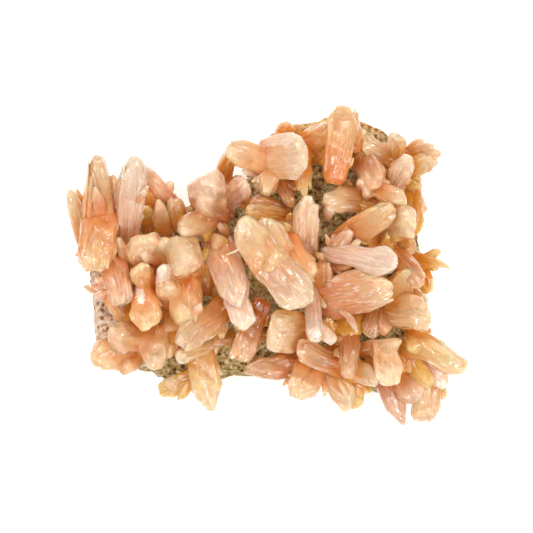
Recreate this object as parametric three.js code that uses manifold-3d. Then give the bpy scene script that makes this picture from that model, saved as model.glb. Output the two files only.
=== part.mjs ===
// Stilbite with mordenite: a cabinet specimen of a zeolite-lined cavity wall, in millimetres, +Z up.
// A plate of vesicular basalt, crusted all over its top with fine mordenite, carries about 120 stout
// stilbite crystals, flattened blades and prisms that grew out of the crust and out of each other in
// every direction. Crystals that grew together are one solid. The plate was trimmed flat beneath, and
// the origin lies in that flat face, near its middle.
import * as THREE from "three";
import { mergeVertices } from "three/addons/utils/BufferGeometryUtils.js";
import Module from "manifold-3d";

const wasm = await Module();
wasm.setup();

// Driving sizes
const plateHeight = 14.5; // top of the crust in the middle of the plate
const plateEdgeHeight = 10; // top of the crust at the plate's edge
const plateRimHeight = 5.5; // where the plate is widest
const baseShare = 0.86; // the flat base's outline, as a share of the plate's
const crustRelief = 1.1; // how far the crust's lumps rise and fall
const rimWander = 0.9; // how far the broken side's ledge rises and falls
const sideChipping = 0.7; // how far the broken side juts and falls back
const slenderWidth = 6.2; // crystals narrower than this at the foot have four sides
const contactGap = 0.3; // clearance between solids that grew against each other
const blunt = "blunt";
const round = "round";
const wedge = "wedge";
const skew = "skew";

// Colours of the stilbite's crystals and of the crust, as they show on the specimen
const peach = 0xe2a67c;
const pink = 0xe1a087;
const cream = 0xf0d3aa;
const sand = 0xcfae84;
const orange = 0xdf934b;
const amber = 0xdfa85c;
const rose = 0xc98f6c;
const pearl = 0xf0d8cc;
const straw = 0xefd796;
const crustColour = 0xb8a07c;

// The plate's outline seen from above, counter-clockwise from its lower left corner
const plateOutline = [
  [-50.4, -28.8], [-46.2, -30.6], [-41.4, -30.9], [-37.2, -31.2], [-34.2, -33], [-30.6, -34.2],
  [-27, -36], [-22.2, -36], [-17.4, -34.8], [-12.6, -33.9], [-8.4, -34.2], [-4.8, -33.9],
  [0, -33.9], [5.4, -34.2], [10.2, -34.8], [15.6, -33.6], [20.4, -34.2], [25.2, -36], [30, -37.8],
  [33.6, -39.9], [37.2, -39.3], [41.4, -37.8], [47.4, -37.5], [52.5, -35.7], [54.3, -33],
  [51.6, -27.6], [49.2, -22.8], [47.4, -18], [46.2, -11.4], [47.1, -6], [47.4, 0], [46.8, 5.4],
  [45.6, 10.2], [45.9, 16.2], [46.5, 21.6], [45.9, 25.8], [44.4, 31.2], [42.6, 35.4], [40.2, 38.4],
  [37.2, 40.8], [33, 42.9], [28.2, 44.7], [24, 46.2], [20.4, 45.9], [17.4, 45.3], [14.4, 44.1],
  [10.8, 43.2], [7.2, 43.2], [4.8, 40.8], [2.4, 37.5], [-1.2, 34.5], [-3.6, 29.4], [-6.9, 24.9],
  [-12, 23.1], [-15.6, 20.4], [-19.8, 19.2], [-24, 18.9], [-27.6, 17.4], [-31.8, 16.8],
  [-37.8, 18.9], [-42.6, 21], [-46.2, 22.8], [-50.7, 20.4], [-53.4, 14.4], [-54, 6.9],
  [-54.6, -0.6], [-54, -6.3], [-52.8, -10.8], [-53.1, -17.7], [-52.8, -25.8],
];

// The flattened six-sided section of a stout crystal, as shares of half its width and half its thickness
const stoutSection = [
  [1, 0],
  [0.76, 1],
  [-0.76, 1],
  [-1, 0],
  [-0.76, -1],
  [0.76, -1],
];

// The four-sided section of a slender crystal
const slenderSection = [
  [0.92, 0.82],
  [-0.92, 0.82],
  [-0.92, -0.82],
  [0.92, -0.82],
];

// The four forms of a crystal's end. Each row is a section: how far along the crystal it lies, its share
// of the width, its share of the thickness, and its shift to one side as a share of the width.
const endForms = {
  [round]: [[0, 1, 0.85, 0], [0.84, 1, 1, 0], [1, 0.56, 0.5, 0]],
  [blunt]: [[0, 1, 0.85, 0], [0.9, 1, 1, 0], [1, 0.78, 0.62, 0]],
  [wedge]: [[0, 1, 0.85, 0], [0.7, 1, 1, 0], [1, 0.25, 0.35, 0]],
  [skew]: [[0, 1, 0.85, 0], [0.8, 1, 1, 0], [1, 0.45, 0.45, -0.27]],
};

// The stilbite, group by group round the plate. Each crystal has the middle of its foot and of its tip,
// its width at both, its thickness and the form of its end.
const groups = {
  west_spire: {
    tone: peach,
    crystals: [
      { foot: [-50.4, 6, 13], tip: [-50.4, 32.7, 33], width: [12.7, 6.7], thick: 6.7, end: round },
      { foot: [-46.5, 9, 13], tip: [-46.2, 27.3, 27], width: [4.5, 4.5], thick: 4.7, end: round },
      { foot: [-49.2, 18, 19], tip: [-51.6, -1.8, 29], width: [10.5, 11.4], thick: 5.4, end: round },
      { foot: [-52.2, 9, 15], tip: [-56.1, 0.6, 20], width: [5.1, 4.1], thick: 2.7, end: wedge },
      { foot: [-49.8, 9, 11], tip: [-50.4, 7.8, 24], width: [7, 7], thick: 6, end: blunt },
      { foot: [-54, 5.4, 13], tip: [-58.8, 22.8, 22], width: [6, 5.1], thick: 3.4, end: round },
      { foot: [-51.6, 10.2, 16], tip: [-57.3, 23.7, 18], width: [3.8, 3.8], thick: 2.4, end: wedge },
    ],
  },
  west_wall: {
    tone: pink,
    crystals: [
      { foot: [-46.2, 3, 19], tip: [-43.2, -12.3, 25], width: [8.3, 7.6], thick: 4.7, end: blunt },
      { foot: [-44.7, -7.2, 21], tip: [-54.9, -5.7, 19], width: [6.7, 3.8], thick: 3, end: wedge },
      { foot: [-45, -2.7, 11], tip: [-44.7, -3.6, 22], width: [5.7, 5.7], thick: 4, end: blunt },
    ],
  },
  striped_pillar: {
    tone: pearl,
    crystals: [
      { foot: [-42, 4.2, 13], tip: [-39.6, 31.8, 38], width: [7, 8.6], thick: 5, end: round },
    ],
  },
  slanted_pillar: {
    tone: pink,
    crystals: [
      { foot: [-27, 16.8, 12], tip: [-38.4, 30.6, 33], width: [5.4, 4.1], thick: 3.7, end: skew },
      { foot: [-35.1, 10.2, 11], tip: [-36, 18.9, 22], width: [6.4, 4.5], thick: 3, end: round },
      { foot: [-30.6, 9.6, 12], tip: [-32.7, 19.8, 25], width: [6, 4.8], thick: 3.4, end: wedge },
      { foot: [-26.4, 11.4, 12], tip: [-27.9, 19.8, 21], width: [5.7, 5.1], thick: 3.7, end: blunt },
      { foot: [-33, 12, 12], tip: [-36.6, 27, 25], width: [9.5, 4.8], thick: 3, end: round },
    ],
  },
  west_boulders: {
    tone: peach,
    crystals: [
      { foot: [-24, 0.6, 13], tip: [-25.2, 4.8, 35], width: [10.8, 11.4], thick: 11.4, end: round },
      { foot: [-24.9, 1.2, 15], tip: [-23.7, -18, 28], width: [10.8, 10.2], thick: 6, end: round },
      { foot: [-28.2, -10.8, 12], tip: [-30.3, -5.4, 27], width: [7.6, 7], thick: 6, end: round },
      { foot: [-35.4, -2.4, 13], tip: [-37.2, 9.3, 31], width: [8.3, 10.8], thick: 5.4, end: round },
      { foot: [-28.2, -2.4, 13], tip: [-30.6, 8.4, 30], width: [7.3, 6.4], thick: 4.7, end: round },
      { foot: [-39.6, -3.6, 13], tip: [-44.7, 8.4, 26], width: [3.8, 3.8], thick: 3, end: round },
      { foot: [-30.9, -6, 22], tip: [-31.5, 0.3, 32], width: [4.5, 3.8], thick: 2.4, end: blunt },
    ],
  },
  fan_sheaf: {
    tone: orange,
    crystals: [
      { foot: [-36.9, -3.6, 16], tip: [-35.7, -19.2, 27], width: [4.5, 10.5], thick: 4, end: round },
      { foot: [-34.2, -7.2, 13], tip: [-38.7, 0.3, 28], width: [6.4, 7.6], thick: 4.4, end: round },
    ],
  },
  southwest_lumps: {
    tone: peach,
    crystals: [
      { foot: [-37.2, -21.6, 14], tip: [-47.4, -21.6, 26], width: [8.6, 9.5], thick: 5.4, end: round },
      { foot: [-38.4, -22.8, 13], tip: [-51.6, -28.5, 23], width: [9.9, 10.5], thick: 5.4, end: round },
      { foot: [-39, -23.4, 12], tip: [-43.5, -33, 19], width: [7, 6.4], thick: 4, end: round },
      { foot: [-34.8, -15, 14], tip: [-33, -30.9, 26], width: [8.9, 9.9], thick: 4.7, end: wedge },
      { foot: [-30, -15.6, 14], tip: [-28.8, -27.9, 22], width: [6.4, 6], thick: 3.4, end: round },
      { foot: [-41.4, -11.4, 12], tip: [-41.1, -20.1, 18], width: [3.8, 4.1], thick: 2.7, end: round },
      { foot: [-28.8, -9.6, 12], tip: [-28.5, -20.1, 21], width: [4.8, 4.5], thick: 3, end: round },
    ],
  },
  recess_prisms: {
    tone: amber,
    crystals: [
      { foot: [-15.6, -7.2, 12], tip: [-18.6, 6, 21], width: [6.4, 5.4], thick: 4, end: round },
      { foot: [-14.4, -11.4, 10], tip: [-16.5, -5.4, 15], width: [5.1, 4.5], thick: 2.7, end: round },
    ],
  },
  twin_bones: {
    tone: pink,
    crystals: [
      { foot: [-10.8, 14.4, 15], tip: [-20.4, 19.8, 33], width: [5.7, 5.7], thick: 4.4, end: round },
      { foot: [-13.5, 16.5, 17], tip: [-26.1, 10.8, 31], width: [7, 7.6], thick: 4.7, end: round },
      { foot: [-12.6, 9, 11], tip: [-19.2, 11.4, 22], width: [5.7, 7], thick: 4, end: round },
      { foot: [-17.1, 18, 13], tip: [-18, 25.8, 35], width: [10.8, 11.1], thick: 8.7, end: round },
      { foot: [-13.8, 17.4, 14], tip: [-5.4, 25.8, 29], width: [7.3, 7.6], thick: 4, end: blunt },
    ],
  },
  grey_blade: {
    tone: sand,
    crystals: [
      { foot: [-14.1, 22.8, 12], tip: [-11.1, 35.1, 24], width: [5.4, 5.1], thick: 3, end: skew },
    ],
  },
  north_crown: {
    tone: cream,
    crystals: [
      { foot: [-1.5, 32.1, 21], tip: [12, 33.3, 38], width: [12.1, 14.3], thick: 4.7, end: blunt },
      { foot: [9.3, 38.4, 16], tip: [11.4, 21.3, 27], width: [7, 7], thick: 4, end: wedge },
      { foot: [1.8, 31.8, 20], tip: [-0.6, 20.4, 33], width: [5.1, 6], thick: 4, end: wedge },
      { foot: [3, 28.2, 18], tip: [7.5, 17.7, 22], width: [4.1, 3.8], thick: 3.4, end: round },
      { foot: [4.2, 32.4, 11], tip: [5.1, 32.4, 30], width: [8.3, 8.3], thick: 6.7, end: blunt },
      { foot: [5.7, 30, 18], tip: [-11.4, 35.4, 33], width: [8, 8.3], thick: 4, end: blunt },
      { foot: [6.3, 35.4, 11], tip: [5.4, 43.5, 19], width: [5.7, 5.7], thick: 3.4, end: round },
    ],
  },
  north_capsule: {
    tone: peach,
    crystals: [
      { foot: [9, 34.8, 13], tip: [19.8, 41.7, 25], width: [7.6, 7.6], thick: 4.4, end: round },
      { foot: [11.4, 31.2, 12], tip: [18, 36.6, 20], width: [5.7, 5.7], thick: 3.4, end: round },
    ],
  },
  north_tower: {
    tone: orange,
    crystals: [
      { foot: [19.8, 24.6, 28], tip: [24, 48, 33], width: [6.7, 9.9], thick: 5, end: round },
      { foot: [26.4, 34.2, 21], tip: [26.7, 47.1, 30], width: [4.1, 3.2], thick: 2.7, end: wedge },
      { foot: [23.4, 37.2, 10], tip: [23.1, 37.8, 30], width: [6.4, 6.4], thick: 4.7, end: blunt },
    ],
  },
  northeast_slab: {
    tone: sand,
    crystals: [
      { foot: [40.8, 30.6, 11], tip: [28.5, 37.5, 22], width: [5.7, 6.4], thick: 3, end: blunt },
      { foot: [39, 30, 10], tip: [39, 40.2, 19], width: [5.1, 5.7], thick: 4, end: round },
    ],
  },
  northeast_tongues: {
    tone: sand,
    crystals: [
      { foot: [40.8, 32.4, 12], tip: [52.2, 35.1, 23], width: [5.1, 5.1], thick: 2.7, end: round },
      { foot: [40.8, 27.3, 13], tip: [50.7, 33, 22], width: [6.7, 6.4], thick: 3.4, end: round },
    ],
  },
  northeast_shard: {
    tone: cream,
    crystals: [
      { foot: [37.5, 22.2, 10], tip: [42, 32.7, 31], width: [6.4, 7], thick: 4, end: skew },
    ],
  },
  northeast_fan: {
    tone: amber,
    crystals: [
      { foot: [39, 29.4, 10], tip: [46.2, 23.7, 18], width: [4.5, 4.8], thick: 3, end: blunt },
    ],
  },
  amber_lobe: {
    tone: amber,
    crystals: [
      { foot: [43.8, 24.6, 9], tip: [44.4, 8.4, 15], width: [5.7, 7], thick: 4, end: round },
      { foot: [42, 19.2, 8], tip: [47.4, 15.6, 12], width: [5.7, 6.4], thick: 3.4, end: round },
    ],
  },
  northeast_mass: {
    tone: rose,
    crystals: [
      { foot: [28.2, 34.8, 12], tip: [33, 24.3, 30], width: [8.9, 9.2], thick: 5, end: round },
      { foot: [28.8, 27, 18], tip: [41.4, 18.6, 29], width: [5.7, 6], thick: 4, end: blunt },
      { foot: [33, 27, 12], tip: [27.3, 33.6, 19], width: [6.4, 5.4], thick: 4, end: round },
    ],
  },
  long_bar: {
    tone: sand,
    crystals: [
      { foot: [33.6, 20.1, 13], tip: [16.5, 19.8, 27], width: [7.6, 7.6], thick: 4, end: round },
    ],
  },
  east_plank: {
    tone: orange,
    crystals: [
      { foot: [19.8, 5.7, 15], tip: [37.2, 17.4, 33], width: [7.6, 8], thick: 4, end: blunt },
    ],
  },
  east_lump: {
    tone: cream,
    crystals: [
      { foot: [33.6, 11.7, 15], tip: [44.1, 13.2, 31], width: [8.9, 10.5], thick: 5, end: blunt },
    ],
  },
  east_capsule: {
    tone: pink,
    crystals: [
      { foot: [18.9, 2.7, 14], tip: [24.9, 10.8, 28], width: [4.5, 4.8], thick: 3, end: round },
    ],
  },
  mirror_blade: {
    tone: pearl,
    crystals: [
      { foot: [16.8, 4.8, 17], tip: [38.7, 0.6, 37], width: [3.8, 8.9], thick: 3.7, end: blunt },
      { foot: [21, -0.6, 12], tip: [15.3, 4.2, 21], width: [3.8, 4.1], thick: 3, end: round },
    ],
  },
  east_blade: {
    tone: orange,
    crystals: [
      { foot: [15, -10.2, 14], tip: [37.8, -5.4, 34], width: [12.7, 13.4], thick: 4.7, end: wedge },
      { foot: [16.8, -9.6, 13], tip: [16.8, 1.8, 25], width: [5.4, 6.4], thick: 3.7, end: round },
    ],
  },
  east_blocks: {
    tone: cream,
    crystals: [
      { foot: [36, -12, 14], tip: [48.6, -15, 29], width: [10.2, 10.5], thick: 5.4, end: blunt },
      { foot: [41.1, -13.8, 12], tip: [39.9, -1.5, 27], width: [8.3, 7.6], thick: 4, end: blunt },
    ],
  },
  east_diagonal: {
    tone: rose,
    crystals: [
      { foot: [33.3, 10.8, 13], tip: [46.8, -6, 27], width: [5.1, 6.4], thick: 3.7, end: blunt },
    ],
  },
  east_small: {
    tone: peach,
    crystals: [
      { foot: [37.8, 3.3, 11], tip: [44.1, 7.5, 21], width: [5.1, 6.4], thick: 3.4, end: round },
    ],
  },
  amber_spur: {
    tone: amber,
    crystals: [
      { foot: [42, 2.4, 8], tip: [55.2, -0.3, 14], width: [8.9, 2.9], thick: 4, end: wedge },
      { foot: [46.2, 2.4, 7], tip: [49.2, -8.4, 11], width: [5.1, 4.1], thick: 3, end: round },
    ],
  },
  shadow_prisms: {
    tone: rose,
    crystals: [
      { foot: [34.5, -9.9, 12], tip: [30, -21.6, 20], width: [5.7, 5.7], thick: 3.4, end: blunt },
      { foot: [36.9, -9.3, 11], tip: [35.4, -20.7, 21], width: [5.1, 5.1], thick: 3.4, end: round },
    ],
  },
  pink_stick: {
    tone: pink,
    crystals: [
      { foot: [21.6, -12, 20], tip: [27.6, -19.5, 32], width: [2.2, 2.2], thick: 2, end: round },
    ],
  },
  south_post: {
    tone: rose,
    crystals: [
      { foot: [25.5, -19.2, 14], tip: [24, -32.7, 34], width: [5.7, 5.7], thick: 4.7, end: round },
      { foot: [25.2, -10.8, 12], tip: [25.2, -22.8, 19], width: [8.9, 8.3], thick: 3.4, end: round },
    ],
  },
  centre_sheaf: {
    tone: cream,
    crystals: [
      { foot: [1.2, -1.2, 27], tip: [-8.1, 14.1, 39], width: [9.2, 9.5], thick: 4.7, end: round },
      { foot: [6.6, -0.6, 24], tip: [-1.8, 14.4, 35], width: [8.9, 8.9], thick: 4, end: round },
      { foot: [-2.4, 4.2, 26], tip: [12, -11.4, 37], width: [9.5, 13], thick: 5.4, end: round },
      { foot: [5.4, 8.4, 23], tip: [14.4, -4.2, 33], width: [7, 7], thick: 4, end: blunt },
      { foot: [2.7, 1.2, 11], tip: [1.8, 1.8, 34], width: [9.5, 9.5], thick: 8.1, end: blunt },
    ],
  },
  centre_leaf: {
    tone: cream,
    crystals: [
      { foot: [7.2, 14.4, 15], tip: [-6, 17.1, 30], width: [6.7, 4.8], thick: 3, end: round },
      { foot: [6.6, 15.6, 13], tip: [-4.2, 20.4, 26], width: [6.4, 5.1], thick: 4, end: round },
    ],
  },
  ribbed_crystal: {
    tone: cream,
    crystals: [
      { foot: [11.1, 1.8, 14], tip: [12.6, 21.6, 33], width: [8, 8.3], thick: 4.4, end: wedge },
    ],
  },
  pink_plank: {
    tone: pink,
    crystals: [
      { foot: [-16.5, 12, 13], tip: [-7.8, -12, 32], width: [8.6, 10.2], thick: 4, end: round },
      { foot: [-10.5, -6, 24], tip: [-6, -18.6, 31], width: [7.6, 8], thick: 4, end: blunt },
      { foot: [-7.2, -9.6, 27], tip: [-7.8, -19.8, 24], width: [6.4, 5.7], thick: 4.7, end: round },
    ],
  },
  southwest_lances: {
    tone: peach,
    crystals: [
      { foot: [-10.5, -9.6, 16], tip: [-26.1, -23.7, 32], width: [7.3, 8.9], thick: 4.4, end: skew },
      { foot: [-9, -12, 15], tip: [-22.8, -24, 28], width: [3.8, 4.1], thick: 2.7, end: wedge },
    ],
  },
  south_leaves: {
    tone: rose,
    crystals: [
      { foot: [-0.6, -9.6, 19], tip: [-8.4, -29.1, 23], width: [6, 7.3], thick: 3.4, end: round },
      { foot: [-5.7, -19.2, 19], tip: [-10.5, -28.2, 24.5], width: [3.2, 3.8], thick: 2.4, end: round },
      { foot: [-2.1, -18.6, 9], tip: [-3, -19.2, 21], width: [4.1, 4.1], thick: 3, end: blunt },
    ],
  },
  south_spindle: {
    tone: rose,
    crystals: [
      { foot: [11.4, -28.8, 13], tip: [-6.9, -31.5, 20], width: [7.6, 6.4], thick: 4.4, end: round },
    ],
  },
  south_dome: {
    tone: cream,
    crystals: [
      { foot: [12.9, -20.7, 16], tip: [0.6, -19.2, 31], width: [11.4, 13], thick: 5, end: round },
    ],
  },
  ribbed_column: {
    tone: pearl,
    crystals: [
      { foot: [13.5, -4.8, 12], tip: [14.7, -22.2, 35], width: [4.8, 5.1], thick: 4, end: blunt },
    ],
  },
  south_beam: {
    tone: rose,
    crystals: [
      { foot: [26.4, -32.1, 13], tip: [9, -24, 29], width: [6.4, 7.6], thick: 4, end: blunt },
    ],
  },
  south_block: {
    tone: peach,
    crystals: [
      { foot: [15, -27.6, 13], tip: [9, -39.6, 21], width: [11.8, 8.6], thick: 5, end: round },
    ],
  },
  south_legs: {
    tone: cream,
    crystals: [
      { foot: [18, -28.8, 14], tip: [26.1, -43.2, 17], width: [6.7, 8], thick: 3.7, end: round },
      { foot: [25.5, -30, 13], tip: [27.3, -42.6, 16], width: [5.7, 5.7], thick: 3, end: round },
    ],
  },
  south_pebble: {
    tone: cream,
    crystals: [
      { foot: [22.2, -29.7, 14], tip: [34.2, -34.2, 26], width: [6.4, 6.7], thick: 3.7, end: round },
    ],
  },
  curl_pair: {
    tone: sand,
    crystals: [
      { foot: [27.6, -25.5, 14], tip: [40.2, -22.8, 27], width: [4.5, 5.1], thick: 4, end: round },
      { foot: [35.1, -22.2, 20], tip: [37.5, -36, 27], width: [7, 8.9], thick: 4.7, end: blunt },
    ],
  },
  southeast_tusk: {
    tone: straw,
    crystals: [
      { foot: [41.4, -21.6, 14], tip: [60, -30.6, 24], width: [8.9, 7.3], thick: 5, end: round },
      { foot: [46.8, -18, 12], tip: [43.2, -25.8, 20], width: [5.7, 5.7], thick: 3.4, end: round },
    ],
  },
  southeast_fans: {
    tone: rose,
    crystals: [
      { foot: [35.4, -34.2, 12], tip: [41.4, -47.7, 15], width: [6.7, 6.7], thick: 4.7, end: wedge },
      { foot: [39, -32.1, 12], tip: [45.9, -40.5, 18.5], width: [8.3, 8], thick: 4.4, end: blunt },
      { foot: [48.9, -31.2, 15], tip: [47.4, -47.7, 17], width: [7.3, 8.6], thick: 4.4, end: blunt },
      { foot: [41.1, -24.6, 11], tip: [49.5, -36.9, 19], width: [5.1, 5.1], thick: 3.7, end: blunt },
      { foot: [44.4, -27.6, 12], tip: [54, -36, 18], width: [5.7, 6.4], thick: 2.7, end: blunt },
      { foot: [48.9, -34.2, 12.5], tip: [53.4, -39.9, 14.5], width: [5.7, 4.8], thick: 3.7, end: round },
      { foot: [39.9, -22.2, 12], tip: [43.8, -31.8, 16], width: [6.4, 7], thick: 3.4, end: round },
    ],
  },
  southwest_tooth: {
    tone: orange,
    crystals: [
      { foot: [-20.1, -24.6, 15], tip: [-16.5, -43.5, 19], width: [8.6, 10.2], thick: 5, end: wedge },
      { foot: [-10.2, -20.1, 11], tip: [-27.3, -27.6, 23], width: [4.5, 5.7], thick: 3, end: blunt },
      { foot: [-19.2, -32.7, 14], tip: [-33, -37.5, 12], width: [5.7, 5.7], thick: 3.4, end: round },
    ],
  },
};

// A closed solid from rings of points, all of one count, capped flat at both ends
function solidFromRings(rings) {
  const count = rings[0].length;
  const vertices = rings.flat().flatMap((point) => point.toArray());
  const triangles = [];
  for (let ring = 0; ring < rings.length - 1; ring += 1) {
    for (let side = 0; side < count; side += 1) {
      const next = (side + 1) % count;
      const low = ring * count;
      const high = low + count;
      triangles.push(low + side, low + next, high + next);
      triangles.push(low + side, high + next, high + side);
    }
  }
  const last = (rings.length - 1) * count;
  for (let side = 1; side < count - 1; side += 1) {
    triangles.push(0, side + 1, side);
    triangles.push(last, last + side, last + side + 1);
  }
  return new wasm.Manifold(
    new wasm.Mesh({
      numProp: 3,
      vertProperties: new Float32Array(vertices),
      triVerts: new Uint32Array(triangles),
    }),
  );
}

// One stilbite crystal, lofted from foot to tip and made larger all round by swell
function crystalSolid({ foot, tip, width, thick, end }, swell) {
  const start = new THREE.Vector3(...foot);
  const finish = new THREE.Vector3(...tip);
  const along = finish.clone().sub(start).normalize();
  const across = new THREE.Vector3(0, 0, 1).cross(along).normalize();
  const face = along.clone().cross(across);
  start.addScaledVector(along, -swell);
  finish.addScaledVector(along, swell);
  const section = width[0] < slenderWidth ? slenderSection : stoutSection;
  const rings = endForms[end].map(([share, widthShare, thickShare, shift]) => {
    const fullWidth = THREE.MathUtils.lerp(width[0], width[1], share);
    const halfWidth = (fullWidth * widthShare) / 2 + swell;
    const halfThick = (thick * thickShare) / 2 + swell;
    const middle = start.clone().lerp(finish, share).addScaledVector(across, shift * fullWidth);
    return section.map(([sideways, outward]) =>
      middle
        .clone()
        .addScaledVector(across, sideways * halfWidth)
        .addScaledVector(face, outward * halfThick),
    );
  });
  return solidFromRings(rings);
}

// The crystals of one group, grown together in one solid
function groupSolid(crystals, swell) {
  return crystals
    .map((crystal) => crystalSolid(crystal, swell))
    .reduce((joined, crystal) => joined.add(crystal));
}

// Lumps of the crust: three crossing waves of different lengths
function crustLumps(x, y) {
  const long = Math.sin(0.16 * x + 0.07 * y + 1.1) * Math.cos(0.19 * y - 0.05 * x);
  const middling = 0.6 * Math.sin(0.43 * x - 0.31 * y) * Math.cos(0.37 * y + 0.6);
  const short = 0.4 * Math.sin(0.9 * x + 0.5) * Math.sin(0.8 * y - 0.4 * x);
  return crustRelief * (long + middling + short);
}

// The plate: rings of points from its flat base, round its rim and in over its lumpy top. Swell lifts
// the top and widens the outline.
function plateSolid(swell) {
  const sideCount = 42;
  const corners = plateOutline.map(([x, y]) => new THREE.Vector3(x, y, 0));
  const outline = new THREE.CatmullRomCurve3(corners, true, "centripetal");
  const edge = outline.getSpacedPoints(sideCount).slice(0, sideCount);
  const underRows = [[baseShare, 0], [0.95, 1.8]];
  const topRows = [0.95, 0.84, 0.66, 0.44, 0.2];
  const level = (share, height) =>
    edge.map((point) => {
      const wander = height > 0 ? rimWander * Math.sin(0.31 * point.x - 0.23 * point.y) : 0;
      const chipping = share < 1 ? sideChipping * Math.sin(0.9 * point.x + 1.3 * point.y + 9 * share) : 0;
      const reach = share + (swell + chipping) / point.length();
      return new THREE.Vector3(point.x * reach, point.y * reach, height + wander);
    });
  const top = (share) =>
    level(share, 1).map((point) => {
      const dome = 1 - share ** 4;
      const flank = Math.min(1, (1 - share) / 0.06);
      const height = plateEdgeHeight + (plateHeight - plateEdgeHeight) * dome - 2.2 * (1 - flank);
      return point.setZ(height + crustLumps(point.x, point.y) * (0.4 + 0.6 * flank) + swell);
    });
  const rings = [
    ...underRows.map(([share, height]) => level(share, height)),
    level(1, plateRimHeight),
    ...topRows.map((share) => top(share)),
  ];
  return solidFromRings(rings);
}

// The largest of a solid's separate bodies, so that no sliver is left where one crystal cuts another
function largestBody(solid) {
  const { vertProperties, triVerts, numProp } = solid.getMesh();
  const positions = new THREE.BufferAttribute(vertProperties, numProp);
  const owner = Array.from({ length: positions.count }, (_, index) => index);
  const find = (index) => {
    let root = index;
    while (owner[root] !== root) root = owner[root];
    owner[index] = root;
    return root;
  };
  for (let corner = 0; corner < triVerts.length; corner += 3) {
    owner[find(triVerts[corner + 1])] = find(triVerts[corner]);
    owner[find(triVerts[corner + 2])] = find(triVerts[corner]);
  }
  const bodies = new Map();
  for (let corner = 0; corner < triVerts.length; corner += 3) {
    const body = find(triVerts[corner]);
    if (!bodies.has(body)) bodies.set(body, { triangles: [], volume: 0 });
    const entry = bodies.get(body);
    const points = [0, 1, 2].map((step) =>
      new THREE.Vector3().fromBufferAttribute(positions, triVerts[corner + step]),
    );
    entry.triangles.push(...triVerts.slice(corner, corner + 3));
    entry.volume += points[0].dot(points[1].cross(points[2])) / 6;
  }
  const largest = [...bodies.values()].reduce((best, body) => (body.volume > best.volume ? body : best));
  const geometry = new THREE.BufferGeometry();
  geometry.setAttribute("position", new THREE.BufferAttribute(vertProperties, numProp));
  geometry.setIndex(largest.triangles);
  return geometry;
}

// A named mesh with its own material
function namedMesh(name, geometry, color, roughness) {
  const material = new THREE.MeshStandardMaterial({ color, roughness, metalness: 0 });
  material.flatShading = true;
  const mesh = new THREE.Mesh(mergeVertices(geometry.toNonIndexed()), material);
  mesh.name = name;
  return mesh;
}

const specimen = new THREE.Group();
specimen.add(namedMesh("mordenite_matrix", largestBody(plateSolid(0)), crustColour, 0.95));

// Crystals stand proud of the plate in layers. The highest kept their full form, and each lower group
// ends against the plate and against the groups over it.
let taken = plateSolid(contactGap);
const tallestTip = ({ crystals }) => Math.max(...crystals.map(({ tip }) => tip[2]));
const byHeight = Object.entries(groups).sort(([, a], [, b]) => tallestTip(b) - tallestTip(a));
for (const [name, { tone, crystals }] of byHeight) {
  const free = groupSolid(crystals, 0).subtract(taken);
  taken = taken.add(groupSolid(crystals, contactGap));
  specimen.add(namedMesh(name, largestBody(free), tone, 0.55));
}

export default specimen;
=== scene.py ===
import math

import bpy
import numpy as np
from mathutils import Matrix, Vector, noise
from mathutils.kdtree import KDTree


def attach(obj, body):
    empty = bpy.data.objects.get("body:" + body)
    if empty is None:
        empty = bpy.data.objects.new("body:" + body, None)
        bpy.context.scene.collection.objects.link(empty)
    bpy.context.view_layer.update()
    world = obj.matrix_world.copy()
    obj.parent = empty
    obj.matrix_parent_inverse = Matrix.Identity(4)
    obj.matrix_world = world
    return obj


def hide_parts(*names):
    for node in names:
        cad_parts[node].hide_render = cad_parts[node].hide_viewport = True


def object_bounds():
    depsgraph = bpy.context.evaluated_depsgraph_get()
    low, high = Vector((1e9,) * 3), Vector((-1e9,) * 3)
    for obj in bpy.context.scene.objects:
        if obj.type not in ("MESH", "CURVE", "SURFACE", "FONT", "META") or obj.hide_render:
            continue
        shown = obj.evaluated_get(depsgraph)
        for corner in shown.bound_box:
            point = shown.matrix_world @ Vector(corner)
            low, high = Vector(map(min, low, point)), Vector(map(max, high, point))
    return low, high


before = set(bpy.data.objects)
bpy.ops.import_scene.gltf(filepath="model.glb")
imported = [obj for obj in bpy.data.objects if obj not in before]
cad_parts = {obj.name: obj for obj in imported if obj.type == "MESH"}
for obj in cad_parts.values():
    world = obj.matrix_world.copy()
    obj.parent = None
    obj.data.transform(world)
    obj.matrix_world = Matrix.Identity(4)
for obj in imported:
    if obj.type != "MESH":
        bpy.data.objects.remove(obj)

cad_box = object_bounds()


# The plate
# A broken slab of vesicular basalt, crusted over its top and sides with fine sugary mordenite that is
# white to honey-brown and full of small pores. It was trimmed flat beneath and lies on that face.
mm = 0.001
weld_distance = 0.01 * mm
plate_voxel = 0.5 * mm
# Faces that point further down than this, by their normal's height, are bare, and others are crusted.
bare_height = -0.75
crusted_height = -0.25
grain_size = 1.1 * mm
grain_height = 0.5 * mm
grain_middle = 0.5
lump_size = 3.6 * mm
lump_height = 0.7 * mm
pore_size = 2.3 * mm
pore_depth = 1.1 * mm
pore_share = 0.3
# A pore's radius and the patch that has or lacks pores, in pore sizes, and where the pattern starts
pore_radius = 0.42
pore_patch = 1.7
pore_start = Vector((7, 3, 5))
# The crust turns white towards the west end and honey-coloured towards the north rim, between these.
white_from_x = -30 * mm
white_full_x = -46 * mm
honey_from_y = 34 * mm
honey_full_y = 43 * mm
crust_bump_height = 0.4 * mm


def srgb(red, green, blue):
    """A colour as read off a screen, 0 to 255, in linear light."""
    linear = []
    for value in (red, green, blue):
        part = value / 255
        linear.append(part / 12.92 if part <= 0.04045 else ((part + 0.055) / 1.055) ** 2.4)
    return (*linear, 1.0)


def select_only(piece):
    """Deselects everything, the loaded nodes too, and makes this piece the active one."""
    bpy.ops.object.select_all(action="DESELECT")
    piece.select_set(True)
    bpy.context.view_layer.objects.active = piece


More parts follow.
